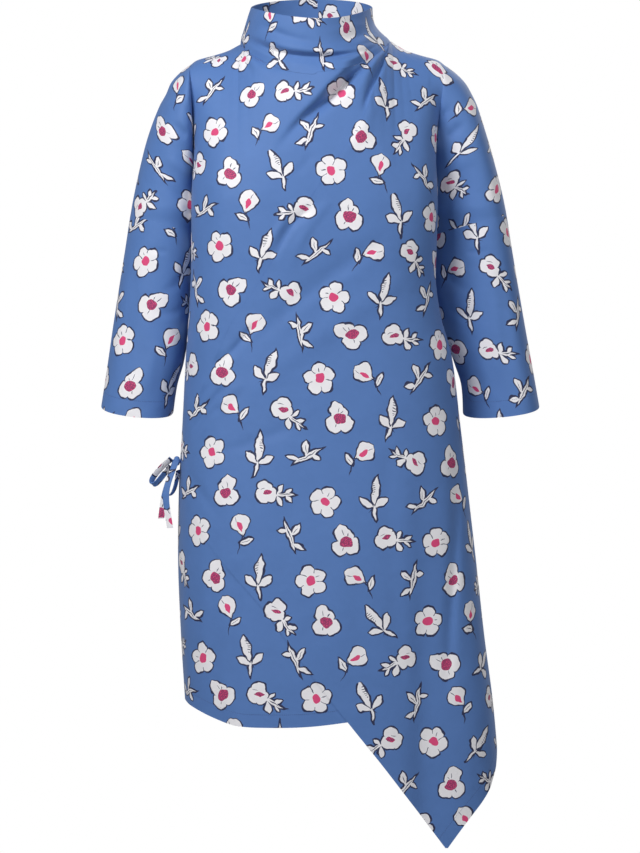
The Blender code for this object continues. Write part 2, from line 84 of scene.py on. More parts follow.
# %% Lamps
def soft_lamp(name, place, aim, size, watts):
    """A square soft box that points at a place on the dress."""
    bpy.ops.object.light_add(type="AREA", location=place)
    lamp = bpy.context.object
    lamp.name = name
    lamp.data.size = size
    lamp.data.energy = watts
    lamp.rotation_euler = (Vector(aim) - Vector(place)).to_track_quat("-Z", "Y").to_euler()
    return lamp


soft_lamp("Key soft box", (-1.4, -1.95, 1.05), (0.0, 0.0, -0.1), 1.2, 59)
soft_lamp("Right fill", (1.7, -2.5, 1.0), (0.0, 0.0, -0.2), 1.5, 30)
soft_lamp("Back soft box", (1.6, 2.6, 1.4), (0.0, 0.0, -0.4), 1.8, 40)

# %% World
def placed(tree, kind, inputs=(), **settings):
    """A new node with its settings. Each input is a value, or a socket to wire in."""
    node = tree.nodes.new("ShaderNode" + kind)
    for name, value in settings.items():
        setattr(node, name, value)
    for name, value in dict(inputs).items():
        if isinstance(value, bpy.types.NodeSocket):
            tree.links.new(value, node.inputs[name])
        else:
            node.inputs[name].default_value = value
    return node


def white_to_camera(tree, shading, white, output):
    """Shows the camera plain white, while all other light meets the shading."""
    ray = placed(tree, "LightPath").outputs["Is Camera Ray"]
    either = placed(tree, "MixShader", {"Fac": ray, 1: shading.outputs[0], 2: white.outputs[0]})
    tree.links.new(either.outputs["Shader"], output.inputs["Surface"])


world = bpy.data.worlds.new("White studio")
world.use_nodes = True
bpy.context.scene.world = world
bpy.context.scene.view_settings.view_transform = "Standard"
room = world.node_tree
white = room.nodes["Background"]
white.inputs["Color"].default_value = (1, 1, 1, 1)
glow = placed(room, "Background", {"Color": (0.93, 0.96, 1, 1), "Strength": 0.19})
white_to_camera(room, glow, white, room.nodes["World Output"])
print("world:", world.name)

# %% Floor
bpy.ops.mesh.primitive_circle_add(vertices=128, radius=2.4, fill_type="NGON", location=(0, 0, -1.1))
floor = bpy.context.object
floor.name = "Pale floor"
pale = bpy.data.materials.new("Pale floor")
pale.use_nodes = True
paint = pale.node_tree.nodes["Principled BSDF"]
paint.inputs["Base Color"].default_value = (0.30, 0.30, 0.30, 1)
paint.inputs["Roughness"].default_value = 0.9
bright = placed(pale.node_tree, "Emission", {"Color": (1, 1, 1, 1)})
white_to_camera(pale.node_tree, paint, bright, pale.node_tree.nodes["Material Output"])
floor.data.materials.append(pale)
floor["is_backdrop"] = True
print("floor at", round(floor.location.z, 3))

# %% [markdown]
# ## The form of the dress
#
# A dress with nobody in it still has a clear form: an oval body that the shoulders carry, which
# widens to the hips and falls in soft flutes to the hem. Every panel lies on that one form, so the
# panels meet at their seams. The form is kept as short tables of named sizes, with a smooth curve
# through each. The same tables shape the plain solids, so the fine cloth sits where they are. Here
# the sums run on whole grids of points at once, which keeps fine meshes quick.

# %% Tables of the body
def table(names, rows):
    """Rows of numbers as rows with named columns."""
    return [dict(zip(names.split(), row)) for row in rows]


QUARTER = math.pi / 2
WALL = 0.0006
# how far the cloth stands out at a seam and under the lap, and how far the hidden front lies in
SEAM, LAP, SINK = 0.00001, 0.0011, 0.0012
TORSO = table("z right left front back square tuck", [
    (-0.22, 0.1720, 0.1635, 0.130, 0.104, 3.1, 0.014),
    (-0.27, 0.1725, 0.1625, 0.129, 0.104, 3.0, 0.015),
    (-0.32, 0.1735, 0.1615, 0.126, 0.104, 2.9, 0.013),
    (-0.37, 0.1760, 0.1690, 0.124, 0.106, 2.8, 0.009),
    (-0.42, 0.1790, 0.1825, 0.123, 0.110, 2.7, 0.005),
    (-0.52, 0.1830, 0.1940, 0.124, 0.118, 2.6, 0.001),
    (-0.60, 0.1870, 0.2030, 0.127, 0.124, 2.5, 0.0),
    (-0.70, 0.1880, 0.2145, 0.130, 0.128, 2.4, 0.0),
    (-0.80, 0.1840, 0.2255, 0.131, 0.129, 2.4, 0.0),
    (-0.88, 0.1790, 0.2360, 0.131, 0.129, 2.4, 0.0),
    (-0.95, 0.1750, 0.2425, 0.130, 0.128, 2.4, 0.0),
    (-1.08, 0.1700, 0.2500, 0.128, 0.127, 2.4, 0.0),
])
ARMPIT = -0.22
SIDE_Y = 0.005
TUCK_TURN, TUCK_WIDTH = 0.11, 0.17
FLUTES = table("turn width depth start", [
    (0.60, 0.085, -0.011, -0.46),
    (0.80, 0.090, 0.005, -0.50),
    (-0.78, 0.070, 0.003, -0.60),
    (-0.60, 0.070, -0.003, -0.60),
    (1.38, 0.100, -0.010, -0.40),
    (1.78, 0.110, 0.007, -0.45),
    (2.18, 0.100, -0.009, -0.42),
    (2.60, 0.100, 0.006, -0.48),
])
FLUTE_FULL = -0.95
print("body table:", len(TORSO), "levels and", len(FLUTES), "flutes")

# %% Tables of the neck, the shoulders and the arms
NECK_TURN = 0.46
NECK_RIGHT, NECK_LEFT = 0.104, 0.098
NECK_FRONT = {"depth": 0.110, "drop": -0.051, "sweep": 1.5}
NECK_BACK = {"depth": 0.073, "drop": 0.010, "sweep": 1.0}
TIP_HALF = 0.172
SHOULDER = table("x z", [
    (0.0980, 0.0040), (0.1075, -0.0010), (0.1210, -0.0080), (0.1410, -0.0145), (0.1625, -0.0207),
    (0.1720, -0.0275),
])
SHOULDER_REACH, SHOULDER_FALL, ARMHOLE_REACH = 0.18, 0.02, 0.30
ARM_OUT = table("z right left", [
    (-0.0275, 0.1720, 0.1720),
    (-0.0342, 0.1820, 0.1820),
    (-0.0500, 0.1970, 0.1985),
    (-0.0666, 0.2045, 0.2085),
    (-0.0828, 0.2135, 0.2160),
    (-0.1152, 0.2262, 0.2265),
    (-0.1476, 0.2357, 0.2362),
    (-0.2124, 0.2500, 0.2525),
    (-0.2772, 0.2605, 0.2635),
    (-0.3744, 0.2760, 0.2802),
    (-0.4392, 0.2855, 0.2920),
    (-0.5100, 0.2965, 0.3045),
])
ARM_IN = table("z right left", [
    (-0.220, 0.1640, 0.1555),
    (-0.270, 0.1650, 0.1560),
    (-0.320, 0.1690, 0.1590),
    (-0.380, 0.1735, 0.1690),
    (-0.428, 0.1810, 0.1850),
    (-0.460, 0.1900, 0.1950),
    (-0.510, 0.1970, 0.1975),
])
ARM_DEPTH = table("z front back middle", [
    (-0.0275, 0.000, 0.000, 0.005),
    (-0.060, 0.018, 0.020, 0.005),
    (-0.120, 0.040, 0.044, 0.008),
    (-0.220, 0.053, 0.056, 0.012),
    (-0.350, 0.052, 0.055, 0.018),
    (-0.510, 0.050, 0.053, 0.022),
])
ARM_SET_BACK = {"left": 1.55, "right": 0.88}
ARM_SEAM = {"outer": -0.231, "inner": -0.257}
CUFF = {"outer": -0.484, "front": -0.503, "inner": -0.494, "back": -0.480}
print("shoulder seam from", NECK_LEFT, "to", TIP_HALF, "m off the middle")

# %% Tables of the free edges and hems
OUTER_EDGE = table("z x", [
    (0.0040, 0.0975), (-0.0317, 0.0885), (-0.0612, 0.0776), (-0.1061, 0.0615), (-0.1396, 0.0417),
    (-0.1767, 0.0167), (-0.2202, -0.0123), (-0.2556, -0.0347), (-0.3028, -0.0623), (-0.3382, -0.0848),
    (-0.3814, -0.1141), (-0.4077, -0.1261), (-0.4591, -0.1491), (-0.4935, -0.1657), (-0.5470, -0.1800),
    (-0.5604, -0.1822), (-0.5750, -0.1810), (-0.6135, -0.1725), (-0.6486, -0.1575), (-0.6907, -0.1287),
    (-0.7545, -0.0729), (-0.8043, -0.0360), (-0.8568, 0.0022), (-0.9056, 0.0403), (-0.9652, 0.0878),
    (-1.0235, 0.1317), (-1.0740, 0.1695),
])
POINT_HEM = table("z x", [
    (-0.9470, 0.2423), (-0.9703, 0.2393), (-0.9849, 0.2345), (-0.9999, 0.2287), (-1.0148, 0.2189),
    (-1.0298, 0.2066), (-1.0451, 0.1944), (-1.0574, 0.1850), (-1.0740, 0.1727),
])
SIDE_HEM, POINT = -0.947, -1.074
# the turns between which each edge is looked for
OUTER_TURNS, UNDER_TURNS, POINT_TURNS = (-0.97, 0.98), (0.0, 0.98), (0.2, 1.0)
UNDER_EDGE = table("z x", [
    (0.004, 0.0975), (-0.020, 0.0990), (-0.060, 0.106), (-0.120, 0.124), (-0.220, 0.135), (-0.350, 0.142),
    (-0.500, 0.150), (-0.620, 0.148), (-0.780, 0.132), (-0.930, 0.115),
])
UNDER_HEM = table("x z", [
    (-0.180, -0.8800), (-0.167, -0.8884), (-0.137, -0.9022), (-0.107, -0.9111), (-0.061, -0.9127),
    (-0.010, -0.9110), (0.040, -0.9051), (0.100, -0.8960), (0.180, -0.8840),
])
UNDER_LOW = -0.9127
BACK_HEM = table("turn z", [
    (1.00, -0.947), (1.12, -0.925), (1.35, -0.902), (1.65, -0.888), (2.00, -0.884), (2.50, -0.881),
    (3.00, -0.880),
])
print("wrap edge:", len(OUTER_EDGE), "places from the neck to the point")

# %% [markdown]
# ## The folds
#
# Cloth that is pulled makes folds that point at what pulls it. The neck's drape hangs from the left
# shoulder, so its folds fan out from there: one deep one across the chest and two short ones beside
# the wrap's edge. The tie pulls short creases towards the right hip, and the skirt hangs in soft
# troughs. Each fold is one row: the path of its crest or trough as seen from the front or the back,
# how far it stands out (or in, if negative), and its width above and below the path. Placing them
# one by one gives uneven folds that are where they should be, which noise can't do.

# %% Folds of the front
def crease(out, above, below, fade, *path):
    """A fold's row: its height, its widths above and below its path, and the share where it fades."""
    return {"path": path, "out": out, "above": above, "below": below, "fade": fade}


FRONT_FOLDS = [
    # the deep fold from the left shoulder: a broad crest, then a steep drop into a shaded trough
    crease(0.01, 0.02, 0.005, 0.75, (0.079, 0.002), (0.048, -0.029), (0.018, -0.059), (-0.008, -0.086),
           (-0.033, -0.114), (-0.056, -0.142)),
    crease(-0.0062, 0.003, 0.0042, 0.3, (0.087, -0.009), (0.0612, -0.037), (0.0374, -0.0585),
           (0.018, -0.078), (-0.0031, -0.0957)),
    crease(-0.0105, 0.0042, 0.0086, 0.7, (0.05, -0.047), (0.0374, -0.0585), (0.018, -0.078),
           (-0.0031, -0.0957), (-0.0202, -0.11), (-0.0439, -0.137), (-0.0624, -0.162)),
    crease(-0.0048, 0.003, 0.0042, 0.3, (0.045, -0.049), (0.017, -0.076), (0.006, -0.088)),
    # the crease along the top of the wrap's edge, and the short ones beside it
    crease(-0.007, 0.004, 0.003, 0.45, (0.0905, -0.015), (0.085, -0.035), (0.078, -0.052), (0.069, -0.072),
           (0.06, -0.096)),
    crease(0.0036, 0.006, 0.006, 0.6, (0.086, -0.01), (0.068, -0.045), (0.048, -0.085)),
    crease(-0.0026, 0.0032, 0.0036, 0.7, (0.07, -0.069), (0.065, -0.085), (0.0585, -0.106)),
    crease(-0.0018, 0.0028, 0.0028, 0.5, (0.076, -0.068), (0.0735, -0.096)),
    crease(0.0016, 0.006, 0.01, 0.5, (0.08, -0.062), (0.06, -0.122), (0.02, -0.178)),
    # the second swag under the neck, which fades towards the middle
    crease(-0.003, 0.0034, 0.004, 0.6, (-0.09, -0.018), (-0.0782, -0.0245), (-0.0611, -0.0338),
           (-0.0387, -0.0417), (-0.013, -0.0462)),
    # faint lines that fall from the right side of the neck
    crease(-0.0026, 0.004, 0.005, 0.6, (-0.0993, -0.0206), (-0.092, -0.04), (-0.0861, -0.056)),
    crease(-0.0012, 0.006, 0.005, 0.5, (-0.1125, -0.0219), (-0.103, -0.048), (-0.098, -0.076)),
    crease(-0.001, 0.005, 0.006, 0.5, (-0.0066, -0.1551), (-0.019, -0.1735), (-0.04, -0.19)),
    # pulls along the wrap under the bust
    crease(-0.0038, 0.0055, 0.005, 0.5, (-0.0057, -0.2253), (-0.0373, -0.2555), (-0.0611, -0.3027)),
    crease(0.0014, 0.008, 0.006, 0.5, (0.018, -0.215), (-0.016, -0.262), (-0.042, -0.318)),
    crease(-0.0024, 0.014, 0.011, 0.5, (0.095, -0.265), (0.02, -0.315), (-0.065, -0.385), (-0.125, -0.45)),
    crease(0.0018, 0.016, 0.014, 0.6, (0.13, -0.31), (0.04, -0.37), (-0.06, -0.445), (-0.145, -0.52)),
    crease(0.0018, 0.005, 0.0045, 0.5, (-0.0281, -0.217), (-0.0558, -0.2631), (-0.0822, -0.3158)),
    # short creases that run into the tie
    crease(-0.0036, 0.0042, 0.0052, 0.5, (-0.082, -0.38), (-0.101, -0.403), (-0.118, -0.422),
           (-0.134, -0.437)),
    crease(-0.0032, 0.0034, 0.004, 0.4, (-0.123, -0.461), (-0.133, -0.474), (-0.1481, -0.4938),
           (-0.174, -0.531)),
    crease(0.0026, 0.0036, 0.0034, 0.4, (-0.133, -0.437), (-0.143, -0.452), (-0.1547, -0.47),
           (-0.173, -0.504)),
    crease(-0.0026, 0.0055, 0.0045, 0.6, (-0.1168, -0.417), (-0.1343, -0.435), (-0.148, -0.47),
           (-0.165, -0.513)),
    crease(-0.0028, 0.0045, 0.005, 0.6, (-0.127, -0.4857), (-0.148, -0.507), (-0.168, -0.54)),
    crease(0.0018, 0.007, 0.006, 0.6, (-0.098, -0.455), (-0.135, -0.495), (-0.165, -0.545)),
    crease(-0.0016, 0.006, 0.008, 0.6, (-0.172, -0.572), (-0.15, -0.608), (-0.118, -0.65)),
    crease(-0.0014, 0.009, 0.008, 0.6, (-0.03, -0.515), (-0.095, -0.54), (-0.16, -0.56)),
    # soft troughs of the skirt
    crease(-0.0046, 0.008, 0.007, 0.35, (0.186, -0.54), (0.1848, -0.64), (0.176, -0.78), (0.1718, -0.9)),
    crease(-0.002, 0.018, 0.016, 0.4, (0.09, -0.52), (0.098, -0.68), (0.112, -0.86), (0.13, -1.0)),
    crease(0.0018, 0.022, 0.02, 0.4, (0.025, -0.62), (0.03, -0.74), (0.042, -0.87)),
    crease(-0.0016, 0.02, 0.022, 0.4, (-0.045, -0.6), (-0.048, -0.72), (-0.042, -0.83)),
    crease(-0.0018, 0.012, 0.014, 0.35, (-0.108, -0.69), (-0.112, -0.8), (-0.11, -0.91)),
    crease(0.0016, 0.01, 0.012, 0.4, (-0.15, -0.64), (-0.152, -0.76), (-0.148, -0.89)),
    # the chest stays flat up to its left edge; on its right it falls away towards the arm
    crease(0.0058, 0.024, 0.008, 0.4, (0.15, -0.07), (0.152, -0.15), (0.15, -0.24), (0.148, -0.33)),
    crease(-0.0018, 0.009, 0.01, 0.6, (-0.15, -0.09), (-0.154, -0.17), (-0.15, -0.27), (-0.156, -0.37)),
    crease(0.0012, 0.012, 0.01, 0.5, (-0.12, -0.11), (-0.126, -0.2), (-0.122, -0.3)),
]
print("front folds:", len(FRONT_FOLDS))

# %% Folds of the back and of the arms
BACK_FOLDS = [
    crease(-0.0018, 0.01, 0.012, 0.5, (0.085, -0.03), (0.07, -0.09), (0.074, -0.16)),
    crease(-0.0016, 0.012, 0.01, 0.5, (-0.08, -0.035), (-0.072, -0.1), (-0.064, -0.17)),
    crease(-0.0022, 0.008, 0.007, 0.6, (0.145, -0.19), (0.1, -0.255), (0.045, -0.3)),
    crease(-0.002, 0.007, 0.008, 0.6, (-0.145, -0.185), (-0.105, -0.24), (-0.06, -0.27)),
    crease(0.002, 0.016, 0.012, 0.5, (0.11, -0.33), (0.0, -0.385), (-0.13, -0.49)),
    crease(-0.0018, 0.008, 0.01, 0.5, (-0.175, -0.55), (-0.12, -0.515), (-0.05, -0.49)),
    crease(-0.0016, 0.008, 0.009, 0.5, (-0.17, -0.58), (-0.125, -0.615), (-0.08, -0.67)),
    crease(-0.0024, 0.014, 0.016, 0.4, (0.11, -0.47), (0.118, -0.64), (0.13, -0.88)),
    crease(-0.0022, 0.016, 0.018, 0.4, (0.02, -0.52), (0.026, -0.7), (0.03, -0.87)),
    crease(0.002, 0.018, 0.014, 0.4, (-0.07, -0.56), (-0.076, -0.72), (-0.082, -0.87)),
]
ARM_FOLDS = [
    crease(-0.003, 0.0048, 0.0056, 0.6, (0.156, -0.11), (0.17, -0.096), (0.184, -0.083)),
    crease(-0.0032, 0.005, 0.0058, 0.6, (0.174, -0.129), (0.186, -0.118), (0.2, -0.106)),
    crease(0.0016, 0.007, 0.006, 0.6, (0.172, -0.18), (0.19, -0.164), (0.214, -0.15)),
    crease(-0.002, 0.006, 0.0055, 0.6, (0.17, -0.228), (0.186, -0.206), (0.206, -0.19)),
    crease(-0.0011, 0.003, 0.004, 0.5, (0.2, -0.2815), (0.218, -0.2805), (0.234, -0.277)),
    crease(-0.0022, 0.007, 0.006, 0.6, (0.17, -0.3), (0.19, -0.325), (0.218, -0.338)),
    crease(-0.0018, 0.006, 0.0065, 0.6, (0.176, -0.356), (0.2, -0.364), (0.228, -0.358)),
    crease(-0.0018, 0.008, 0.009, 0.4, (0.244, -0.3), (0.252, -0.37), (0.26, -0.46)),
    crease(0.0018, 0.01, 0.008, 0.4, (0.212, -0.4), (0.224, -0.44), (0.228, -0.49)),
]
print("back folds:", len(BACK_FOLDS), "arm folds:", len(ARM_FOLDS))


# %% [markdown]
# ## Sums on the form
#
# The helpers below read a table on a smooth curve, give a point of the body's form and measure how
# far the folds lift it. A place on the body is given by a turn, in quarter turns round from the
# middle of the front towards the wearer's left, and by how far down it is: -1 at the neckline and
# shoulder, 0 at the armpits, and metres below that.

# %% Smooth tables
def hermite(t, start, end, leave, arrive):
    """A cubic from start to end with the given directions at its two ends."""
    return (
        (2 * t**3 - 3 * t**2 + 1) * start
        + (t**3 - 2 * t**2 + t) * leave
        + (3 * t**2 - 2 * t**3) * end
        + (t**3 - t**2) * arrive
    )


def ease(t):
    """0 to 1 with level ends."""
    t = np.clip(t, 0.0, 1.0)
    return t * t * (3 - 2 * t)


def bell(distance, width):
    return np.exp(-((distance / width) ** 2))


def lengths(points, axis=0):
    """How far along its line each point is, for one line of points or for each line of a grid."""
    steps = np.linalg.norm(np.diff(points, axis=axis), axis=-1)
    return np.cumsum(np.concatenate([np.zeros_like(steps.take([0], axis)), steps], axis), axis)


def follow(table, key, at, column):
    """The column's values at places in the table, on a smooth curve through its rows."""
    rows = sorted(table, key=lambda row: row[key])
    keys = np.array([row[key] for row in rows])
    values = np.array([row[column] for row in rows])
    ends = np.arange(len(keys))
    before, after = np.maximum(ends - 1, 0), np.minimum(ends + 1, len(keys) - 1)
    slopes = (values[after] - values[before]) / (keys[after] - keys[before])
    at = np.clip(at, keys[0], keys[-1])
    i = np.clip(np.searchsorted(keys, at), 1, len(keys) - 1)
    span = keys[i] - keys[i - 1]
    t = (at - keys[i - 1]) / span
    return hermite(t, values[i - 1], values[i], slopes[i - 1] * span, slopes[i] * span)


print("shoulder height half way:", round(float(follow(SHOULDER, "x", 0.135, "z")), 4))


# %% How far the folds lift the cloth
FOLD_STEPS = 4
# a fold rises over this share of its path, and one that is steeper than this has its sides as given
FOLD_RISE, FOLD_START, STEEP = 0.22, 0.05, 0.3


def smooth_path(points, count):
    """Evenly numbered points on a smooth curve through the given ones."""
    points = np.array(points, float)
    last = len(points) - 1
    at = np.linspace(0, last, count + 1)
    i = np.minimum(at.astype(int), last - 1)
    before, after = np.maximum(i - 1, 0), np.minimum(i + 2, last)
    leave = (points[i + 1] - points[before]) / np.where(i > 0, 2, 1)[:, None]
    arrive = (points[after] - points[i]) / np.where(i + 2 <= last, 2, 1)[:, None]
    return hermite((at - i)[:, None], points[i], points[i + 1], leave, arrive)


def lifted_by(folds, across, height, mirror=1):
    """How far the folds lift the cloth at each place, seen from the front or the back."""
    lift = np.zeros(np.broadcast(across, height).shape)
    for fold in folds:
        path = smooth_path(fold["path"], FOLD_STEPS * (len(fold["path"]) - 1))
        path[:, 0] *= mirror
        nearest = np.full(lift.shape, np.inf)
        upper, walked = np.zeros(lift.shape), np.zeros(lift.shape)
        gone = 0.0
        for start, end in zip(path, path[1:]):
            run = end - start
            length = math.hypot(*run)
            t = ((across - start[0]) * run[0] + (height - start[1]) * run[1]) / length**2
            t = np.clip(t, 0, 1)
            off_x, off_z = across - start[0] - t * run[0], height - start[1] - t * run[1]
            away = np.hypot(off_x, off_z)
            closer = away < nearest
            nearest = np.where(closer, away, nearest)
            upper = np.where(closer, off_x * run[1] - off_z * run[0], upper)
            walked = np.where(closer, gone + t * length, walked)
            gone += length
        way = path[-1] - path[0]
        above = upper * (1 if way[0] * mirror <= 0 else -1) >= 0
        if abs(way[0]) < STEEP * abs(way[1]):
            above = upper >= 0
        share = walked / gone
        ends = ease((share + FOLD_START) / FOLD_RISE) * ease((1 - share) / fold["fade"])
        lift += fold["out"] * ends * bell(nearest, np.where(above, fold["above"], fold["below"]))
    return lift


deep = lifted_by(FRONT_FOLDS, np.array(0.010), np.array(-0.064))
print("deep fold at its middle:", round(float(deep), 4))


# %% The body's form
def off_middle(turn, front):
    """How far each turn is from the middle of the front or back, and the turn between -2 and 2."""
    wrapped = (turn + 2) % 4 - 2
    return (np.abs(wrapped) if front else 2 - np.abs(wrapped)), wrapped


def torso_point(turn, z):
    """Points of the body's form below the armpits."""
    turn, z = np.broadcast_arrays(np.asarray(turn, float), np.asarray(z, float))
    across, along = np.sin(turn * QUARTER), np.cos(turn * QUARTER)
    half = np.where(across >= 0, follow(TORSO, "z", z, "left"), follow(TORSO, "z", z, "right"))
    deep = np.where(along >= 0, follow(TORSO, "z", z, "front"), follow(TORSO, "z", z, "back"))
    square = follow(TORSO, "z", z, "square")
    reach = (np.abs(across / half) ** square + np.abs(along / deep) ** square) ** (-1 / square)
    from_side = off_middle(turn, True)[0] - 1
    for flute in FLUTES:
        away = (turn - flute["turn"] + 2) % 4 - 2
        grown = ease((flute["start"] - z) / (flute["start"] - FLUTE_FULL))
        reach = reach + flute["depth"] * grown * bell(away, flute["width"])
    tuck = follow(TORSO, "z", z, "tuck") * bell(from_side - TUCK_TURN, TUCK_WIDTH)
    return np.stack([reach * across - np.copysign(tuck, across), SIDE_Y - reach * along, z], -1)


def neck_point(share, shape, side):
    """Points of the neckline: share is 0 at the middle of the front or back and 1 at its side."""
    angle = share * QUARTER
    facing = -1 if shape is NECK_FRONT else 1
    half = np.where(side > 0, NECK_LEFT, NECK_RIGHT)
    drop = shape["drop"] * np.clip(np.cos(angle), 0, None) ** shape["sweep"]
    depth = SIDE_Y + facing * shape["depth"] * np.cos(angle)
    return np.stack([side * half * np.sin(angle), depth, follow(SHOULDER, "x", half, "z") + drop], -1)


def top_of(turn, front):
    """Where each column of the body starts, on the neckline or the shoulder, and its direction."""
    off, wrapped = off_middle(turn, front)
    side = np.where(wrapped >= 0, 1.0, -1.0)
    facing = -1 if front else 1
    share = np.clip(off / NECK_TURN, 0, 1)
    neck = neck_point(share, NECK_FRONT if front else NECK_BACK, side)
    turned = np.sin(share * QUARTER)[..., None] ** 2
    middle_way = np.array([0, facing * 0.020, -0.13])
    side_way = np.array([0, facing * SHOULDER_REACH, -SHOULDER_FALL])
    neck_way = middle_way * (1 - turned) + side_way * turned
    over = np.clip((off - NECK_TURN) / (1 - NECK_TURN), 0, 1)
    half = np.where(side > 0, NECK_LEFT, NECK_RIGHT)
    x = half + over * (TIP_HALF - half)
    shoulder = np.stack([side * x, np.full_like(x, SIDE_Y), follow(SHOULDER, "x", x, "z")], -1)
    level = np.zeros_like(x)
    reach = SHOULDER_REACH + (ARMHOLE_REACH - SHOULDER_REACH) * over
    shoulder_way = np.stack([level, facing * reach, level - SHOULDER_FALL], -1)
    at_neck = (off < NECK_TURN)[..., None]
    return np.where(at_neck, neck, shoulder), np.where(at_neck, neck_way, shoulder_way)


# below the shoulder seams the form is a mean of itself a little to each side, which leaves no kink
SPREAD, SPREAD_TOP, SPREAD_LOW = 0.14, 0.25, 0.35
SMOOTHING = ((-1, 0.1), (-0.5, 0.2), (0, 0.4), (0.5, 0.2), (1, 0.1))
# the folds fade out over these widths: in turns at the neck and the sides, and at the shoulder's top
CALM_NECK, CALM_SIDE, CALM_TOP = 0.12, 0.10, 0.12


def yoke_point(turn, down, front):
    """Points from the neckline or the shoulder down to the armpits."""
    top, way = top_of(turn, front)
    low = torso_point(turn, ARMPIT)
    return hermite((1 + np.minimum(down, 0))[..., None], top, low, way, np.array([0, 0, -0.2]))


def body_point(turn, down, front=True, folded=True):
    """Points of the dress's form, with its folds."""
    turn, down = np.broadcast_arrays(np.asarray(turn, float), np.asarray(down, float))
    off, _ = off_middle(turn, front)
    spread = SPREAD * ease((1 + down) / SPREAD_TOP) * ease(-down / SPREAD_LOW)
    spread = np.clip(np.minimum(spread, 1 - off), 0, None)
    yoke = sum(weight * yoke_point(turn + shift * spread, down, front) for shift, weight in SMOOTHING)
    point = np.where((down >= 0)[..., None], torso_point(turn, ARMPIT - np.maximum(down, 0)), yoke)
    if folded:
        at_neck = ease((NECK_TURN - off) / CALM_NECK)
        calm = ease((1 - off) / CALM_SIDE) * (at_neck + (1 - at_neck) * ease((1 + down) / CALM_TOP))
        folds = FRONT_FOLDS if front else BACK_FOLDS
        point[..., 1] += (-1 if front else 1) * calm * lifted_by(folds, point[..., 0], point[..., 2])
    return point


def outward(turn, down, front=True, folded=True):
    """The directions straight out of the form."""
    step = 0.004
    round_way = body_point(turn + step, down, front, folded) - body_point(turn - step, down, front, folded)
    low, high = np.maximum(down - step, -1.0), down + step
    down_way = body_point(turn, high, front, folded) - body_point(turn, low, front, folded)
    out = np.cross(down_way, round_way)
    return out / np.linalg.norm(out, axis=-1, keepdims=True)


def turn_at(table, down, low, high):
    """The turn at which the form crosses the edge that the table gives, at each level."""
    down = np.asarray(down, float)
    low, high = np.full(down.shape, low, float), np.full(down.shape, high, float)
    for _ in range(32):
        middle = (low + high) / 2
        point = body_point(middle, down, folded=False)
        inside = point[..., 0] < follow(table, "z", point[..., 2], "x")
        low, high = np.where(inside, middle, low), np.where(inside, high, middle)
    return (low + high) / 2


print("chest stands out to", round(float(body_point(0.0, -0.3)[1]), 4))

# %% [markdown]
# ## Flat places for the print
#
# A print is on the cloth before it is cut, so the pattern has to run evenly over each panel and stop
# at its seams. Each panel therefore gets a map of flat places, in metres: how far round the cloth a
# point is from the panel's middle line, and how far up it is from the armpit's level. The sums walk
# along the smooth form without its folds, as a tape measure would. A second map holds, for each
# point, how far along and how far in it is from the nearest hem, for the stitching.


# %% Tape measure on the form
def joined_steps(*stops):
    """Even steps between stops, where each stop but the first has its number of steps with it."""
    spans = [np.linspace(start, end, count + 1) for (start, _), (end, count) in zip(stops, stops[1:])]
    return np.concatenate([spans[0]] + [span[1:] for span in spans[1:]])


def column_turns(neck_steps, side_steps):
    """The turns of a panel's columns, alike on both sides of its middle."""
    half = joined_steps((0, 0), (NECK_TURN, neck_steps), (1, side_steps))
    return np.concatenate([-half[:0:-1], half])


COLUMN_TURNS = column_turns(36, 32)
TAPE_YOKE = 30
TAPE_DOWN = joined_steps((-1, 0), (0, TAPE_YOKE), (0.90, 45))


def taped(front):
    """Distances round and up the form, on a coarse grid of turns and levels."""
    turns = COLUMN_TURNS + (0 if front else 2)
    grid = body_point(turns[None, :], TAPE_DOWN[:, None], front, folded=False)
    far, fallen = lengths(grid, 1), lengths(grid)
    return turns, far - far[:, [len(turns) // 2]], fallen[[TAPE_YOKE]] - fallen


TAPES = {True: taped(True), False: taped(False)}


def flat_place(turn, down, front=True):
    """Where each point of a body panel lies on the flat cloth."""
    turns, far, up = TAPES[front]
    i = np.clip(np.searchsorted(turns, turn) - 1, 0, len(turns) - 2)
    k = np.clip(np.searchsorted(TAPE_DOWN, down) - 1, 0, len(TAPE_DOWN) - 2)
    s = np.clip((turn - turns[i]) / (turns[i + 1] - turns[i]), 0, 1)
    t = np.clip((down - TAPE_DOWN[k]) / (TAPE_DOWN[k + 1] - TAPE_DOWN[k]), 0, 1)

    def blend(table):
        upper = table[k, i] * (1 - s) + table[k, i + 1] * s
        lower = table[k + 1, i] * (1 - s) + table[k + 1, i + 1] * s
        return upper * (1 - t) + lower * t

    return np.stack([blend(far), blend(up)], -1)


print("half of the front at the armpits:", round(float(TAPES[True][1][TAPE_YOKE, -1]), 3), "m round")


# %% One sheet of cloth
MERGE = 0.00004


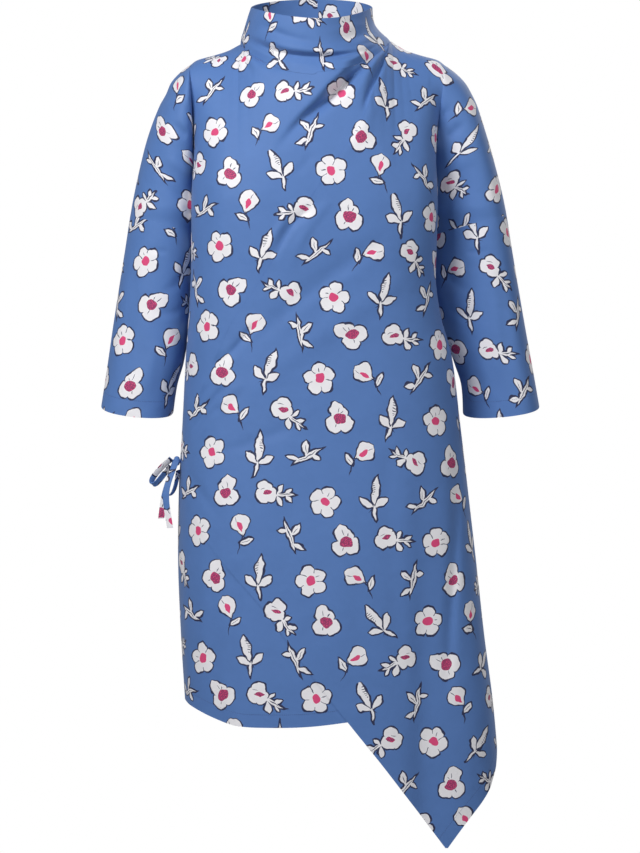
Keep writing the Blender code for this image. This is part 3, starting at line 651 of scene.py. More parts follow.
def cloth_sheet(name, grids, hems=(), wall=WALL, offset=-1.0):
    """A piece of cloth from grids of points and their flat places, with its wall's thickness."""
    points, flats, faces = [], [], []
    for grid, flat in grids:
        rows, columns = grid.shape[:2]
        base = sum(len(block) for block in points)
        index = base + np.arange(rows * columns).reshape(rows, columns)
        points.append(grid.reshape(-1, 3))
        flats.append(flat.reshape(-1, 2))
        corners = [index[:-1, :-1], index[1:, :-1], index[1:, 1:], index[:-1, 1:]]
        faces.append(np.stack([corner.ravel() for corner in corners], -1))
    points, flats, faces = np.concatenate(points), np.concatenate(flats), np.concatenate(faces)
    mesh = bpy.data.meshes.new(name)
    mesh.from_pydata(points.tolist(), [], faces.tolist())
    cloth_map = mesh.uv_layers.new(name="cloth")
    cloth_map.data.foreach_set("uv", flats[faces.ravel()].ravel().astype(np.float32))
    hem_map = mesh.uv_layers.new(name="hem")
    hem_map.data.foreach_set("uv", hem_places(points, hems)[faces.ravel()].ravel().astype(np.float32))
    shape = bmesh.new()
    shape.from_mesh(mesh)
    bmesh.ops.remove_doubles(shape, verts=shape.verts, dist=MERGE)
    bmesh.ops.dissolve_degenerate(shape, edges=shape.edges, dist=MERGE)
    shape.to_mesh(mesh)
    shape.free()
    mesh.shade_smooth()
    for _ in ("right side", "wrong side"):
        mesh.materials.append(None)
    piece = bpy.data.objects.new(name, mesh)
    bpy.context.scene.collection.objects.link(piece)
    thick = piece.modifiers.new("Cloth", "SOLIDIFY")
    thick.thickness = wall
    thick.offset = offset
    thick.material_offset = 1
    bpy.ops.object.select_all(action="DESELECT")
    piece.select_set(True)
    bpy.context.view_layer.objects.active = piece
    bpy.ops.object.modifier_apply(modifier="Cloth")
    bpy.ops.object.shade_smooth_by_angle(angle=math.radians(60))
    print(name, len(piece.data.polygons), "faces, outer side",
          round(sum(face.area for face in piece.data.polygons) / 2, 4), "m2, cut",
          np.round(flats.max(0) - flats.min(0), 3).tolist())
    return piece


def hem_places(points, hems):
    """How far along the nearest hem each point is, and how far in from its line of stitches."""
    places = np.tile([0.0, 1.0], (len(points), 1))
    for line, depth in hems:
        line = np.asarray(line, float)
        line = line[np.concatenate([[True], np.linalg.norm(np.diff(line, axis=0), axis=1) > 1e-5])]
        far = lengths(line)
        even = np.arange(0, far[-1], 0.001)
        dots = np.stack([np.interp(even, far, line[:, k]) for k in range(3)], -1)
        finder = kdtree.KDTree(len(dots))
        for i, dot in enumerate(dots):
            finder.insert(dot, i)
        finder.balance()
        for k, point in enumerate(points):
            _, i, away = finder.find(point)
            if away - depth < places[k, 1]:
                places[k] = (even[i], away - depth)
    return places


# %% [markdown]
# ## The front and back panels
#
# The left front is the outer one: it laps over the right front, its free edge runs from the left
# side of the neck to the tie at the right hip, and its hem falls to the long point. The right front
# lies under it. Both fronts and the back are cut in one with the upper arms, as on a dress with
# dropped shoulders. A panel is a grid on the form. The columns that would pass a free edge stop on
# it, and the outer front is moved out by the thickness of the lap.

# %% Rows of a panel
EDGE_MARGIN, EDGE_STEP, LEVEL_STEP = 0.005, 0.004, 1e-9
# the lap and the hidden front start gently, over these widths in turns or down from the top
LAP_CORNER, LAP_TOP, LAP_SIDE, HIDDEN_IN = 0.14, 0.1, 0.3, 0.05
# directions out of the form are taken a little inside its top and its side
NEAR_TOP, NEAR_SIDE = -0.99, 0.97
ARM_CALM, SEAM_CALM = 0.12, 0.012
HEM_DEPTH = {"front": 0.017, "back": 0.018, "sleeve": 0.022}


def panel_grid(turns, down, front, start=None, end=None, lap=0.0, sink=0.0, hem=None):
    """A grid of points on the form between the panel's ends, and its flat places."""
    turn = np.tile(turns, (len(down), 1))
    if start is not None:
        turn = np.where(turn < start[:, None] + EDGE_MARGIN, start[:, None], turn)
    if end is not None:
        turn = np.where(turn > end[:, None] - EDGE_MARGIN, end[:, None], turn)
    level = np.tile(down[:, None], (1, len(turns)))
    if hem is not None:
        level = hem(turn, level)
    point = body_point(turn, level, front)
    if sink:
        edge = turn_at(OUTER_EDGE, down, *OUTER_TURNS)[:, None]
        hidden = ease((turn - edge) / HIDDEN_IN)[..., None]
        point -= outward(turn, np.maximum(level, NEAR_TOP)) * sink * hidden
    if lap:
        corner = ease((NECK_TURN + LAP_CORNER - turn) / LAP_CORNER)
        settled = corner + (1 - corner) * ease((1 + level) / LAP_TOP)
        out = outward(np.minimum(turn, NEAR_SIDE), np.maximum(level, NEAR_TOP))
        point += out * (lap * settled * ease((1 - turn) / LAP_SIDE))[..., None]
    facing = -1 if front else 1
    middle = 0 if front else 2
    side = np.abs(np.abs(turn - middle) - 1) < 1e-6
    seam = side | ((level <= -1 + LEVEL_STEP) & (np.abs(turn - middle) > NECK_TURN - 0.001))
    point[..., 1] += facing * SEAM * seam
    return point, flat_place(turn, level, front)


def arm_grid(inner, inner_flat, side, facing, count=30, low_rows=9):
    """The upper arm that is cut in one with a body panel, from the shoulder to the sleeve's seam."""
    hand = "left" if side > 0 else "right"
    share = ((1 - np.cos(np.pi * np.arange(count + 1) / count)) / 2)[None, :]
    seam_z = ARM_SEAM["inner"] + (ARM_SEAM["outer"] - ARM_SEAM["inner"]) * share
    steps = np.linspace(0, 1, low_rows + 1)[1:, None]
    z = np.concatenate([np.repeat(inner[:, 2][:, None], count + 1, 1), ARMPIT + (seam_z - ARMPIT) * steps])
    out = follow(ARM_OUT, "z", z, hand)
    middle = follow(ARM_DEPTH, "z", z, "middle")
    bulge = follow(ARM_DEPTH, "z", z, "front" if facing < 0 else "back")
    settle = 1 - ease(np.concatenate([np.zeros((len(inner), 1)), steps]))
    start_x = follow(ARM_IN, "z", z, hand)
    start_x += settle * (abs(inner[-1, 0]) - follow(ARM_IN, "z", ARMPIT, hand))
    start_y = middle + settle * (inner[-1, 1] - facing * SEAM - follow(ARM_DEPTH, "z", ARMPIT, "middle"))
    start_x[: len(inner)] = np.abs(inner[:, 0])[:, None]
    start_y[: len(inner)] = (inner[:, 1] - facing * SEAM)[:, None]
    x = start_x + (out - start_x) * share
    around = np.arange(count + 1) / count
    swell = np.sin(np.pi * around ** (ARM_SET_BACK[hand] if facing < 0 else 1.0))
    y = start_y + (middle - start_y) * share + facing * (bulge * swell + SEAM)
    calm = ease(share / ARM_CALM) * ease((1 - share) / ARM_CALM) * ease((z - seam_z) / SEAM_CALM)
    y += facing * calm * lifted_by(ARM_FOLDS if facing < 0 else ARM_FOLDS[2:], side * x, z, side)
    grid = np.stack([side * x, y, z], -1)
    grid[: len(inner), 0] = inner
    grid[0] = inner[0]
    start_u = np.concatenate([inner_flat[:, 0], np.full(low_rows, inner_flat[-1, 0])])
    high_up = np.repeat(inner_flat[:, 1][:, None], count + 1, 1)
    up = np.concatenate([high_up, inner_flat[-1, 1] + z[len(inner):] - ARMPIT])
    flat = np.stack([start_u[:, None] - side * facing * lengths(grid, 1), up], -1)
    if side * facing > 0:
        grid, flat = grid[:, ::-1], flat[:, ::-1]
    return grid, flat


print("panel columns:", len(COLUMN_TURNS))

# %% The outer front
FRONT_ARM = {"count": 48, "low_rows": 14}
FRONT_TURNS = column_turns(50, 50)
FRONT_YOKE_STEPS = 61
yoke_rows = FRONT_YOKE_STEPS + 1
hem_down = ARMPIT - SIDE_HEM
outer_down = joined_steps((-1, 0), (0, FRONT_YOKE_STEPS), (hem_down, 229), (ARMPIT - POINT, 43))
outer_start = turn_at(OUTER_EDGE, outer_down, *OUTER_TURNS)
outer_start[0] = NECK_TURN + EDGE_STEP
outer_end = turn_at(POINT_HEM, outer_down, *POINT_TURNS)
outer_end = np.where(outer_down > hem_down + LEVEL_STEP, outer_end, 1.0)
outer_grid, outer_flat = panel_grid(FRONT_TURNS, outer_down, True, outer_start, outer_end, lap=LAP)
arm = arm_grid(outer_grid[:yoke_rows, -1], outer_flat[:yoke_rows, -1], 1, -1, **FRONT_ARM)
point_line = outer_grid[outer_down >= hem_down - LEVEL_STEP, -1]
outer_front = cloth_sheet(
    "outer_front", [(outer_grid, outer_flat), arm], [(point_line, HEM_DEPTH["front"])]
)

# %% The under front
under_down = joined_steps((-1, 0), (0, FRONT_YOKE_STEPS), (ARMPIT - UNDER_LOW, 185))
under_end = turn_at(UNDER_EDGE, under_down, *UNDER_TURNS)
under_end[0] = NECK_TURN - EDGE_STEP


def under_hem(turn, level):
    """Levels that run out at the under front's curved hem."""
    low = ARMPIT - UNDER_LOW
    x = body_point(turn, np.maximum(level, 0), folded=False)[..., 0]
    return np.where(level > 0, level * (ARMPIT - follow(UNDER_HEM, "x", x, "z")) / low, level)


under_grid, under_flat = panel_grid(
    FRONT_TURNS, under_down, True, None, under_end, sink=SINK, hem=under_hem
)
arm = arm_grid(under_grid[:yoke_rows, 0], under_flat[:yoke_rows, 0], -1, -1, **FRONT_ARM)
under_front = cloth_sheet(
    "under_front", [(under_grid, under_flat), arm], [(under_grid[-1], HEM_DEPTH["front"])]
)

# %% The back
BACK_YOKE_STEPS = 49
back_down = joined_steps((-1, 0), (0, BACK_YOKE_STEPS), (1, 160))
yoke_rows = BACK_YOKE_STEPS + 1


def back_hem(turn, level):
    """Levels that run out at the back's hem."""
    return np.where(level > 0, level * (ARMPIT - follow(BACK_HEM, "turn", turn, "z")), level)


back_grid, back_flat = panel_grid(2 + COLUMN_TURNS, back_down, False, hem=back_hem)
arms = [
    arm_grid(back_grid[:yoke_rows, 0], back_flat[:yoke_rows, 0], 1, 1),
    arm_grid(back_grid[:yoke_rows, -1], back_flat[:yoke_rows, -1], -1, 1),
]
back_panel = cloth_sheet(
    "back_panel", [(back_grid, back_flat)] + arms, [(back_grid[-1], HEM_DEPTH["back"])]
)

# %% [markdown]
# ## Sleeves
#
# Each three-quarter sleeve is a tube that is sewn to the upper arm below the dropped shoulder and
# hangs open at a wide end. Its seam runs under the arm. The rows follow the sloping seam at the top
# and the hem at the bottom, and the same kind of folds crumple it at the elbow.


# %% Two sleeves
SLEEVE_PRINT = (0.031, 0.017)


def sleeve(name, side, rows=96, around=120):
    """A sleeve on the arm's form, with its seam under the arm."""
    hand = "left" if side > 0 else "right"
    angle = side * np.linspace(0, 2 * math.pi, around + 1)[None, :]
    step = np.linspace(0, 1, rows + 1)[:, None]
    share = (1 - np.cos(angle)) / 2
    front = np.sin(angle * side) >= 0
    seam = ARM_SEAM["inner"] + (ARM_SEAM["outer"] - ARM_SEAM["inner"]) * share - 2 * SEAM
    end = CUFF["inner"] + (CUFF["outer"] - CUFF["inner"]) * share
    rim = np.where(front, CUFF["front"], CUFF["back"])
    end = end + (rim - (CUFF["inner"] + CUFF["outer"]) / 2) * np.abs(np.sin(angle)) ** 0.6
    z = seam + (end - seam) * step
    out, start = follow(ARM_OUT, "z", z, hand), follow(ARM_IN, "z", z, hand)
    bulge = np.where(front, follow(ARM_DEPTH, "z", z, "front"), follow(ARM_DEPTH, "z", z, "back"))
    facing = np.where(front, -1, 1)
    x = start + (out - start) * share
    part = np.abs(np.mod(angle / math.pi + 1, 2) - 1)
    swell = np.abs(np.sin(np.pi * part ** np.where(front, ARM_SET_BACK[hand], 1.0)))
    y = follow(ARM_DEPTH, "z", z, "middle") + facing * bulge * swell
    calm = ease(np.abs(np.sin(angle)) / 0.35) * ease((seam - z) / SEAM_CALM)
    y = y + facing * calm * lifted_by(ARM_FOLDS, side * x, z, side)
    grid = np.stack([side * x, y, np.broadcast_to(z, x.shape)], -1)
    grid[:, -1] = grid[:, 0]
    far = np.broadcast_to(lengths(grid[rows // 2])[None, :] * side, x.shape)
    start = np.array([SLEEVE_PRINT[0] * side, SLEEVE_PRINT[1]])
    flat = np.stack([far, grid[..., 2] - ARMPIT], -1) + start
    if side < 0:
        grid, flat = grid[:, ::-1], flat[:, ::-1]
    return cloth_sheet(name, [(grid, flat)], [(grid[-1], HEM_DEPTH["sleeve"])])


right_sleeve = sleeve("right_sleeve", -1)
left_sleeve = sleeve("left_sleeve", 1)

# %% [markdown]
# ## The funnel neck
#
# The neck is a soft tube that stands up at the back and falls in two swags across the front, from
# one shoulder to the other. It is drawn as rings, from the rim down to the neckline. A smooth curve
# through the rings gives the swags, and small creases are added where the cloth is pulled together
# at the left shoulder.

# %% Rings of the neck
COLLAR = table("ring front_z side_z back_z right left front back", [
    (0, 0.025, 0.050, 0.069, 0.0900, 0.0745, 0.1045, 0.063),
    (1, 0.008, 0.038, 0.054, 0.0940, 0.0752, 0.1055, 0.065),
    (2, -0.008, 0.028, 0.041, 0.0970, 0.0775, 0.1072, 0.067),
    (3, -0.020, 0.020, 0.031, 0.0995, 0.0830, 0.110, 0.069),
    (4, -0.028, 0.014, 0.025, 0.1015, 0.0890, 0.103, 0.070),
    (5, -0.038, 0.0095, 0.019, 0.1030, 0.0945, 0.1068, 0.0715),
])
COLLAR_RISE = 0.0002
COLLAR_SKEW = 0.15
NECK_FOLDS = [
    crease(-0.0036, 0.0042, 0.003, 0.15, (-0.09, 0.005), (-0.05, -0.018), (0.0, -0.025), (0.05, -0.021),
           (0.085, -0.004)),
    crease(-0.001, 0.006, 0.005, 0.5, (-0.085, 0.02), (-0.05, 0.006), (-0.005, 0.0)),
    crease(-0.0016, 0.0035, 0.0035, 0.5, (0.08, 0.002), (0.045, -0.012), (0.01, -0.016)),
    crease(-0.0012, 0.004, 0.004, 0.5, (0.078, 0.014), (0.05, 0.004), (0.025, 0.001)),
    crease(-0.0018, 0.004, 0.005, 0.4, (-0.078, 0.026), (-0.06, 0.012), (-0.033, -0.001), (0.01, -0.008)),
    crease(0.0016, 0.006, 0.005, 0.6, (0.065, 0.024), (0.035, 0.012), (0.005, 0.007)),
]


def funnel_neck(rows=40, around=176):
    """The neck as one closed ring of cloth."""
    turn = np.linspace(-2, 2, around + 1)[None, :]
    ring = np.linspace(0, 5, rows + 1)[:, None]
    across, along = np.sin(turn * QUARTER), np.cos(turn * QUARTER)
    at = {name: follow(COLLAR, "ring", ring, name) for name in COLLAR[0]}
    half = np.where(across >= 0, at["left"], at["right"])
    deep = np.where(along >= 0, at["front"], at["back"])
    middle = np.where(along >= 0, at["front_z"], at["back_z"])
    lean = np.where(along >= 0, np.abs(along) ** 1.5, np.abs(along))
    skew = 1 - COLLAR_SKEW * ease(1 - ring / 5) * across * (along > 0)
    x, y = half * across, SIDE_Y - deep * along * skew
    z = at["side_z"] + (middle - at["side_z"]) * lean
    front = np.abs(turn) <= 1
    near = np.where(front, ease(along / 0.25), 0)
    front_lift = ease((ring - 1.5) / 2.5) * lifted_by(FRONT_FOLDS, x, z)
    y = y - near * (lifted_by(NECK_FOLDS, x, z) + front_lift)
    rings = np.stack([x, y, z], -1)
    share = np.where(front, np.abs(turn), 2 - np.abs(turn))[0]
    side = np.where(turn[0] >= 0, 1.0, -1.0)
    start = np.where(front[0], side * share * NECK_TURN, 2 - side * share * NECK_TURN)
    line = np.where(front[0][:, None], body_point(start, -1.0), body_point(start, -1.0, front=False))
    corner = bell(turn[0] - 1, LAP_CORNER / NECK_TURN)
    line[:, 2] += COLLAR_RISE + LAP * corner
    steps = np.linspace(0, 1, 6)[1:, None, None]
    grid = np.concatenate([rings, rings[-1][None] * (1 - steps) + line[None] * steps])
    grid[:, -1] = grid[:, 0]
    up, far = lengths(grid[::-1])[::-1], lengths(grid[-1])
    base = flat_place(np.clip(turn[0], -1, 1) * NECK_TURN, np.full(around + 1, -1.0))
    beyond = far - np.interp(np.clip(turn[0], -1, 1), turn[0], far)
    flat = np.stack([np.broadcast_to(base[:, 0] + beyond, up.shape), up + base[:, 1]], -1)
    return cloth_sheet("funnel_neck", [(grid, flat)], [(grid[0], 0.0)], wall=0.0012)


neck = funnel_neck()

# %% [markdown]
# ## The tie
#
# A narrow tie of the same cloth holds the outer front at the right hip. It is tied in a small bow:
# a knot, two loops and two free ends. Each strand is a flat band along a smooth path that starts
# and ends at the knot. The knot is a ball that is squeezed into shape, with the cloth's turns drawn
# round it.

# %% Strands of the bow
TIE_LEVEL, TIE_WIDTH = -0.562, 0.0085
knot_down = ARMPIT - TIE_LEVEL
knot_turn = float(turn_at(OUTER_EDGE, knot_down, *OUTER_TURNS))
knot_place = body_point(knot_turn, knot_down, folded=False) + outward(
    np.array(knot_turn), np.array(knot_down), folded=False
) * (LAP + 0.00045 + 0.0048)


def strand(name, stops, across, print_at=(0.013, 0.538), count=44):
    """A narrow flat band along a path that is given from the middle of the knot. `print_at` is the
    place of the print where the band starts."""
    path = smooth_path(np.array(stops) + knot_place, count)
    half = np.array(across) / np.linalg.norm(across) * TIE_WIDTH / 2
    places = np.linspace(-1, 1, 7)
    way = np.gradient(path, axis=0)
    rise = np.cross(way, half)
    rise /= np.linalg.norm(rise, axis=1, keepdims=True)
    crown = (1 - places**2)[None, :, None] * 0.0005
    grid = path[:, None] + places[None, :, None] * half + crown * rise[:, None]
    flat = np.stack(np.broadcast_arrays((places * TIE_WIDTH / 2)[None, :], -lengths(path)[:, None]), -1)
    return cloth_sheet(name, [(grid, flat + np.array(print_at))], wall=0.0012, offset=0.0)


upper_loop = strand("bow_upper_loop", [
    (-0.0072, 0, 0.0032), (-0.0190, 0, -0.0070), (-0.0290, 0, -0.0180), (-0.0340, 0, -0.0265),
    (-0.0330, 0, -0.0320), (-0.0265, 0, -0.0290), (-0.0170, 0, -0.0175), (-0.0080, 0, -0.0070),
], (0.60, 0.60, -0.53))
lower_loop = strand("bow_lower_loop", [
    (-0.0030, 0, -0.0068), (-0.0085, 0, -0.0215), (-0.0130, 0, -0.0345), (-0.0145, 0, -0.0430),
    (-0.0110, 0, -0.0470), (-0.0050, 0, -0.0415), (-0.0008, 0, -0.0290), (0.0018, 0, -0.0125),
], (0.55, 0.80, 0.20))
long_end = strand("bow_long_end", [
    (-0.0012, -0.0053, -0.0005), (-0.0140, -0.0075, -0.0430), (-0.0090, -0.0070, -0.0898),
], (0.95, -0.31, 0.0), print_at=(0.0044, -0.3119))
short_end = strand("bow_short_end", [
    (-0.0022, 0.0061, -0.0005), (-0.0160, 0.0080, -0.0430), (-0.0214, 0.0075, -0.0777),
], (0.95, -0.31, 0.0), print_at=(0.0402, -0.3759))

# %% The knot
bpy.ops.object.select_all(action="DESELECT")
bpy.ops.mesh.primitive_uv_sphere_add(segments=28, ring_count=20, radius=1.0, location=knot_place)
knot = bpy.context.object
knot.name = "bow_knot"
knot.scale = (0.0050, 0.0044, 0.0064)
bpy.ops.object.mode_set(mode="EDIT")
for low, high, factors in ((-1, 0.35, (1.10, 1.10, 0.85)), (0.35, 0.6, (0.88, 0.88, 1.0))):
    shape = bmesh.from_edit_mesh(knot.data)
    for vert in shape.verts:
        vert.select_set(low < abs(vert.co.z) < high)
    shape.select_flush_mode()
    bmesh.update_edit_mesh(knot.data)
    bpy.ops.transform.resize(value=factors)
    bpy.ops.mesh.select_all(action="DESELECT")
bpy.ops.object.mode_set(mode="OBJECT")
bpy.ops.object.transform_apply(location=True, rotation=True, scale=True)
soft = knot.modifiers.new("Soft", "SUBSURF")
soft.levels = soft.render_levels = 1
bpy.ops.object.modifier_apply(modifier="Soft")
knot.data.shade_smooth()
knot_map = knot.data.uv_layers.active
knot_map.name = "cloth"
flat = np.zeros(len(knot.data.loops) * 2, np.float32)
knot_map.data.foreach_get("uv", flat)
flat = flat * np.tile([0.030, 0.016], len(knot.data.loops))
knot_map.data.foreach_set("uv", flat.astype(np.float32))
knot_hem = knot.data.uv_layers.new(name="hem")
knot_hem.data.foreach_set("uv", np.tile([0.0, 1.0], len(knot.data.loops)).astype(np.float32))
print("knot", len(knot.data.polygons), "faces at", np.round(knot_place, 4).tolist())

# %% [markdown]
# ## The print
#
# The cloth is blue with white flowers that are drawn in dark outline, some with a rose middle and
# some with a plum one, and with buds, leafy sprigs and twigs between them. The flowers here are
# plain garden shapes of our own in a loose, tilted half-drop layout. Each cell of the layout holds
# one motif, turned a little by a number that its row and column give. A motif is a sum: it says how
# deep inside the drawn shape a point is, in metres. White goes where the depth is above nothing, and
# the outline where it is close to nothing. Such sums need no picture, and stay sharp at any distance.


# %% Numbers in a material
class Signal:
    """A number that changes over the surface. Sums on signals place Math nodes and wire them."""

    def __init__(self, tree, socket):
        self.tree = tree
        self.socket = socket

    def made(self, operation, *values):
        sockets = [value.socket if isinstance(value, Signal) else value for value in values]
        node = placed(self.tree, "Math", dict(enumerate(sockets)), operation=operation)
        return Signal(self.tree, node.outputs[0])

    def __rsub__(self, other):
        return self.made("SUBTRACT", other, self)


def sum_of(operation):
    """A method that starts its sum with the signal itself."""
    return lambda self, *others: self.made(operation, self, *others)


SUMS = {
    "__add__": "ADD", "__radd__": "ADD", "__sub__": "SUBTRACT", "__mul__": "MULTIPLY",
    "__rmul__": "MULTIPLY", "__truediv__": "DIVIDE", "__abs__": "ABSOLUTE", "plus": "MULTIPLY_ADD",
    "power": "POWER", "above": "GREATER_THAN", "below": "LESS_THAN", "most": "MAXIMUM", "least": "MINIMUM",
    "fraction": "FRACT", "whole": "FLOOR", "sine": "SINE", "cosine": "COSINE", "turned_from": "ARCTAN2",
}
for method, operation in SUMS.items():
    setattr(Signal, method, sum_of(operation))


def signals_of(tree, kind, socket):
    """The parts of a vector or of a colour, each as a signal."""
    return [Signal(tree, part) for part in placed(tree, kind, {0: socket}).outputs]


def node_group(name, inputs, outputs):
    """An empty node group with named sockets, and its two ends."""
    group = bpy.data.node_groups.new(name, "ShaderNodeTree")
    for way, sockets in (("INPUT", inputs), ("OUTPUT", outputs)):
        for socket, kind in sockets.items():
            group.interface.new_socket(socket, in_out=way, socket_type="NodeSocket" + kind)
    return group, group.nodes.new("NodeGroupInput"), group.nodes.new("NodeGroupOutput")


print("sums on signals:", len(SUMS))


# %% Shapes of the motifs
def leaf(x, y, base, degrees, length, half, full=0.0):
    """How deep a point is inside a leaf that grows from its base in a direction."""
    c, s = math.cos(math.radians(degrees)), math.sin(math.radians(degrees))
    along = x.plus(c, y.plus(s, -(base[0] * c + base[1] * s)))
    aside = x.plus(-s, y.plus(c, base[0] * s - base[1] * c))
    t = along / length
    swell = t.plus(8 * full * half, 4 * half * (1 - full)).most(2 * half * (1 - full)) if full else 4 * half
    return t * (1 - t) * swell - abs(aside)


def leaves(x, y, *rows):
    """How deep a point is in any of some leaves: base, degrees, length, half width and fullness."""
    depth = leaf(x, y, *rows[0])
    for row in rows[1:]:
        depth = depth.most(leaf(x, y, *row))
    return depth


def lobed(x, y, centre, petals, small, more, start=0.0):
    """How deep a point is inside a flower of rounded petals, and its polar place."""
    px, py = x - centre[0], y - centre[1]
    far = (px * px + py * py).power(0.5)
    wave = py.turned_from(px).plus(petals / 2, start).cosine()
    return abs(wave).power(0.5).plus(more, small) - far, far, abs(wave)


# %% [markdown]
# ### The flower print as a node group
#
# The group takes the flat place and gives back one colour. It is placed in every cloth's material,
# so that the print is the same on each panel and only its place on the cloth differs.

# %% The flower print
CELL = 0.060
INK = (0.020, 0.026, 0.080, 1)
WHITE = (0.86, 0.845, 0.875, 1)
ROSE = (0.72, 0.062, 0.200, 1)
PLUM = (0.250, 0.036, 0.120, 1)
OUTLINE = 0.0021
# how far a flower and any other motif stray from the middle of their cell, and how far lines wobble
FLOWER_SHIFT, OTHER_SHIFT, WOBBLE = 0.011, 0.003, 0.0085
LAYOUT_TILT = 0.42


def colour_mix(tree, mask, first, second):
    """One colour where the mask is 0 and the other where it is 1."""
    factor = mask.socket if isinstance(mask, Signal) else mask
    node = placed(tree, "Mix", data_type="RGBA")
    ends = [socket for socket in node.inputs if socket.type == "RGBA"]
    for socket, value in zip([node.inputs["Factor"]] + ends, (factor, first, second)):
        if isinstance(value, bpy.types.NodeSocket):
            tree.links.new(value, socket)
        else:
            socket.default_value = value
    return next(socket for socket in node.outputs if socket.type == "RGBA")


def rose_bloom(x, y):
    """A flower of five petals with a round rose middle and a few stamens."""
    depth, far, wave = lobed(x, y, (0, 0), 5, 0.0136, 0.0066, 0.4)
    stamens = leaves(
        x, y, ((0.0062, 0.0035), 28, 0.0065, 0.0005), ((-0.005, 0.0055), 140, 0.0062, 0.0005),
        ((-0.0066, 0.001), 172, 0.005, 0.0005),
    )
    creases = (0.0004 - wave * far * 0.4).least(far - 0.0105).least(0.015 - far)
    return depth, 0.006 - far, -1.0, stamens.most(creases)


def plum_bloom(x, y):
    """A flower of one tall petal and three low ones with a stippled plum middle."""
    depth, _, _ = lobed(x, y, (0.001, -0.003), 3, 0.0108, 0.0076, 0.5)
    tall = leaf(x, y, (-0.002, -0.004), 104, 0.0265, 0.009, 0.4)
    px, py = x - 0.0015, y + 0.001
    lines = leaves(
        x, y, ((-0.002, 0.006), 100, 0.0085, 0.0005), ((0.0015, 0.006), 62, 0.0055, 0.0005),
        ((-0.002, -0.0075), 250, 0.0055, 0.0005),
    )
    return depth.most(tall), -1.0, 0.0076 - (px * px * 0.8 + py * py * 1.2).power(0.5), lines


def bud(x, y):
    """A cup-shaped bud with a rose throat on a dark stem with one leaf."""
    white = leaves(
        x, y, ((-0.002, -0.001), 52, 0.0295, 0.0122, 0.45), ((-0.0012, -0.0125), 136, 0.0195, 0.0038)
    )
    throat = leaf(x, y, (0.001, 0.003), 46, 0.014, 0.0034, 0.2)
    lines = leaves(
        x, y, ((-0.0005, 0.002), 264, 0.029, 0.0011), ((0.011, 0.0115), 40, 0.009, 0.0004),
        ((-0.003, -0.0105), 136, 0.013, 0.0004),
    )
    return white, throat, -1.0, lines


def sprig(x, y):
    """Three leaves on a stem, the longest with a row of ticks."""
    white = leaves(
        x, y, ((0.0, -0.009), 76, 0.039, 0.0052), ((-0.0005, -0.013), 124, 0.0235, 0.0046, 0.45),
        ((0.0, -0.012), 16, 0.0215, 0.0042, 0.45), ((0.0015, -0.008), 240, 0.021, 0.002),
    )
    ticks = (((y + x * 0.6) / 0.0034).fraction() - 0.34).least(0.0) * -0.0035
    ticks = ticks.least(leaf(x, y, (0.0055, 0.002), 76, 0.02, 0.0022))
    return white, -1.0, -1.0, ticks - 0.0001


def bloom_on_stem(x, y):
    """An open flower at one end of a leafy stem."""
    depth, _, _ = lobed(x, y, (-0.0112, 0.005), 3, 0.0102, 0.0046, 0.7)
    plum = leaf(x, y, (-0.0165, 0.003), 14, 0.014, 0.0032, 0.3)
    stem = leaves(
        x, y, ((-0.004, 0.001), 352, 0.031, 0.0022), ((0.004, 0.0), 58, 0.0135, 0.0026, 0.3),
        ((0.003, -0.001), 292, 0.0155, 0.004, 0.4), ((0.012, -0.002), 30, 0.014, 0.0024, 0.3),
        ((0.014, -0.003), 320, 0.0115, 0.0022, 0.3),
    )
    lines = leaves(x, y, ((0.006, 0.0), 352, 0.017, 0.0005), ((-0.019, 0.0075), 20, 0.008, 0.0004))
    return depth.most(stem), -1.0, plum, lines


def twig(x, y):
    """A short forked twig."""
    white = leaves(
        x, y, ((-0.019, 0.0145), 318, 0.043, 0.0029), ((-0.001, -0.001), 80, 0.0215, 0.0038, 0.35),
        ((0.006, -0.007), 4, 0.018, 0.0034), ((-0.007, 0.005), 205, 0.015, 0.0029, 0.3),
    )
    lines = leaves(x, y, ((-0.015, 0.0109), 318, 0.032, 0.0005), ((-0.0002, 0.003), 80, 0.012, 0.0004))
    return white, -1.0, -1.0, lines


MOTIFS = [rose_bloom, plum_bloom, bud, sprig, bloom_on_stem, twig]


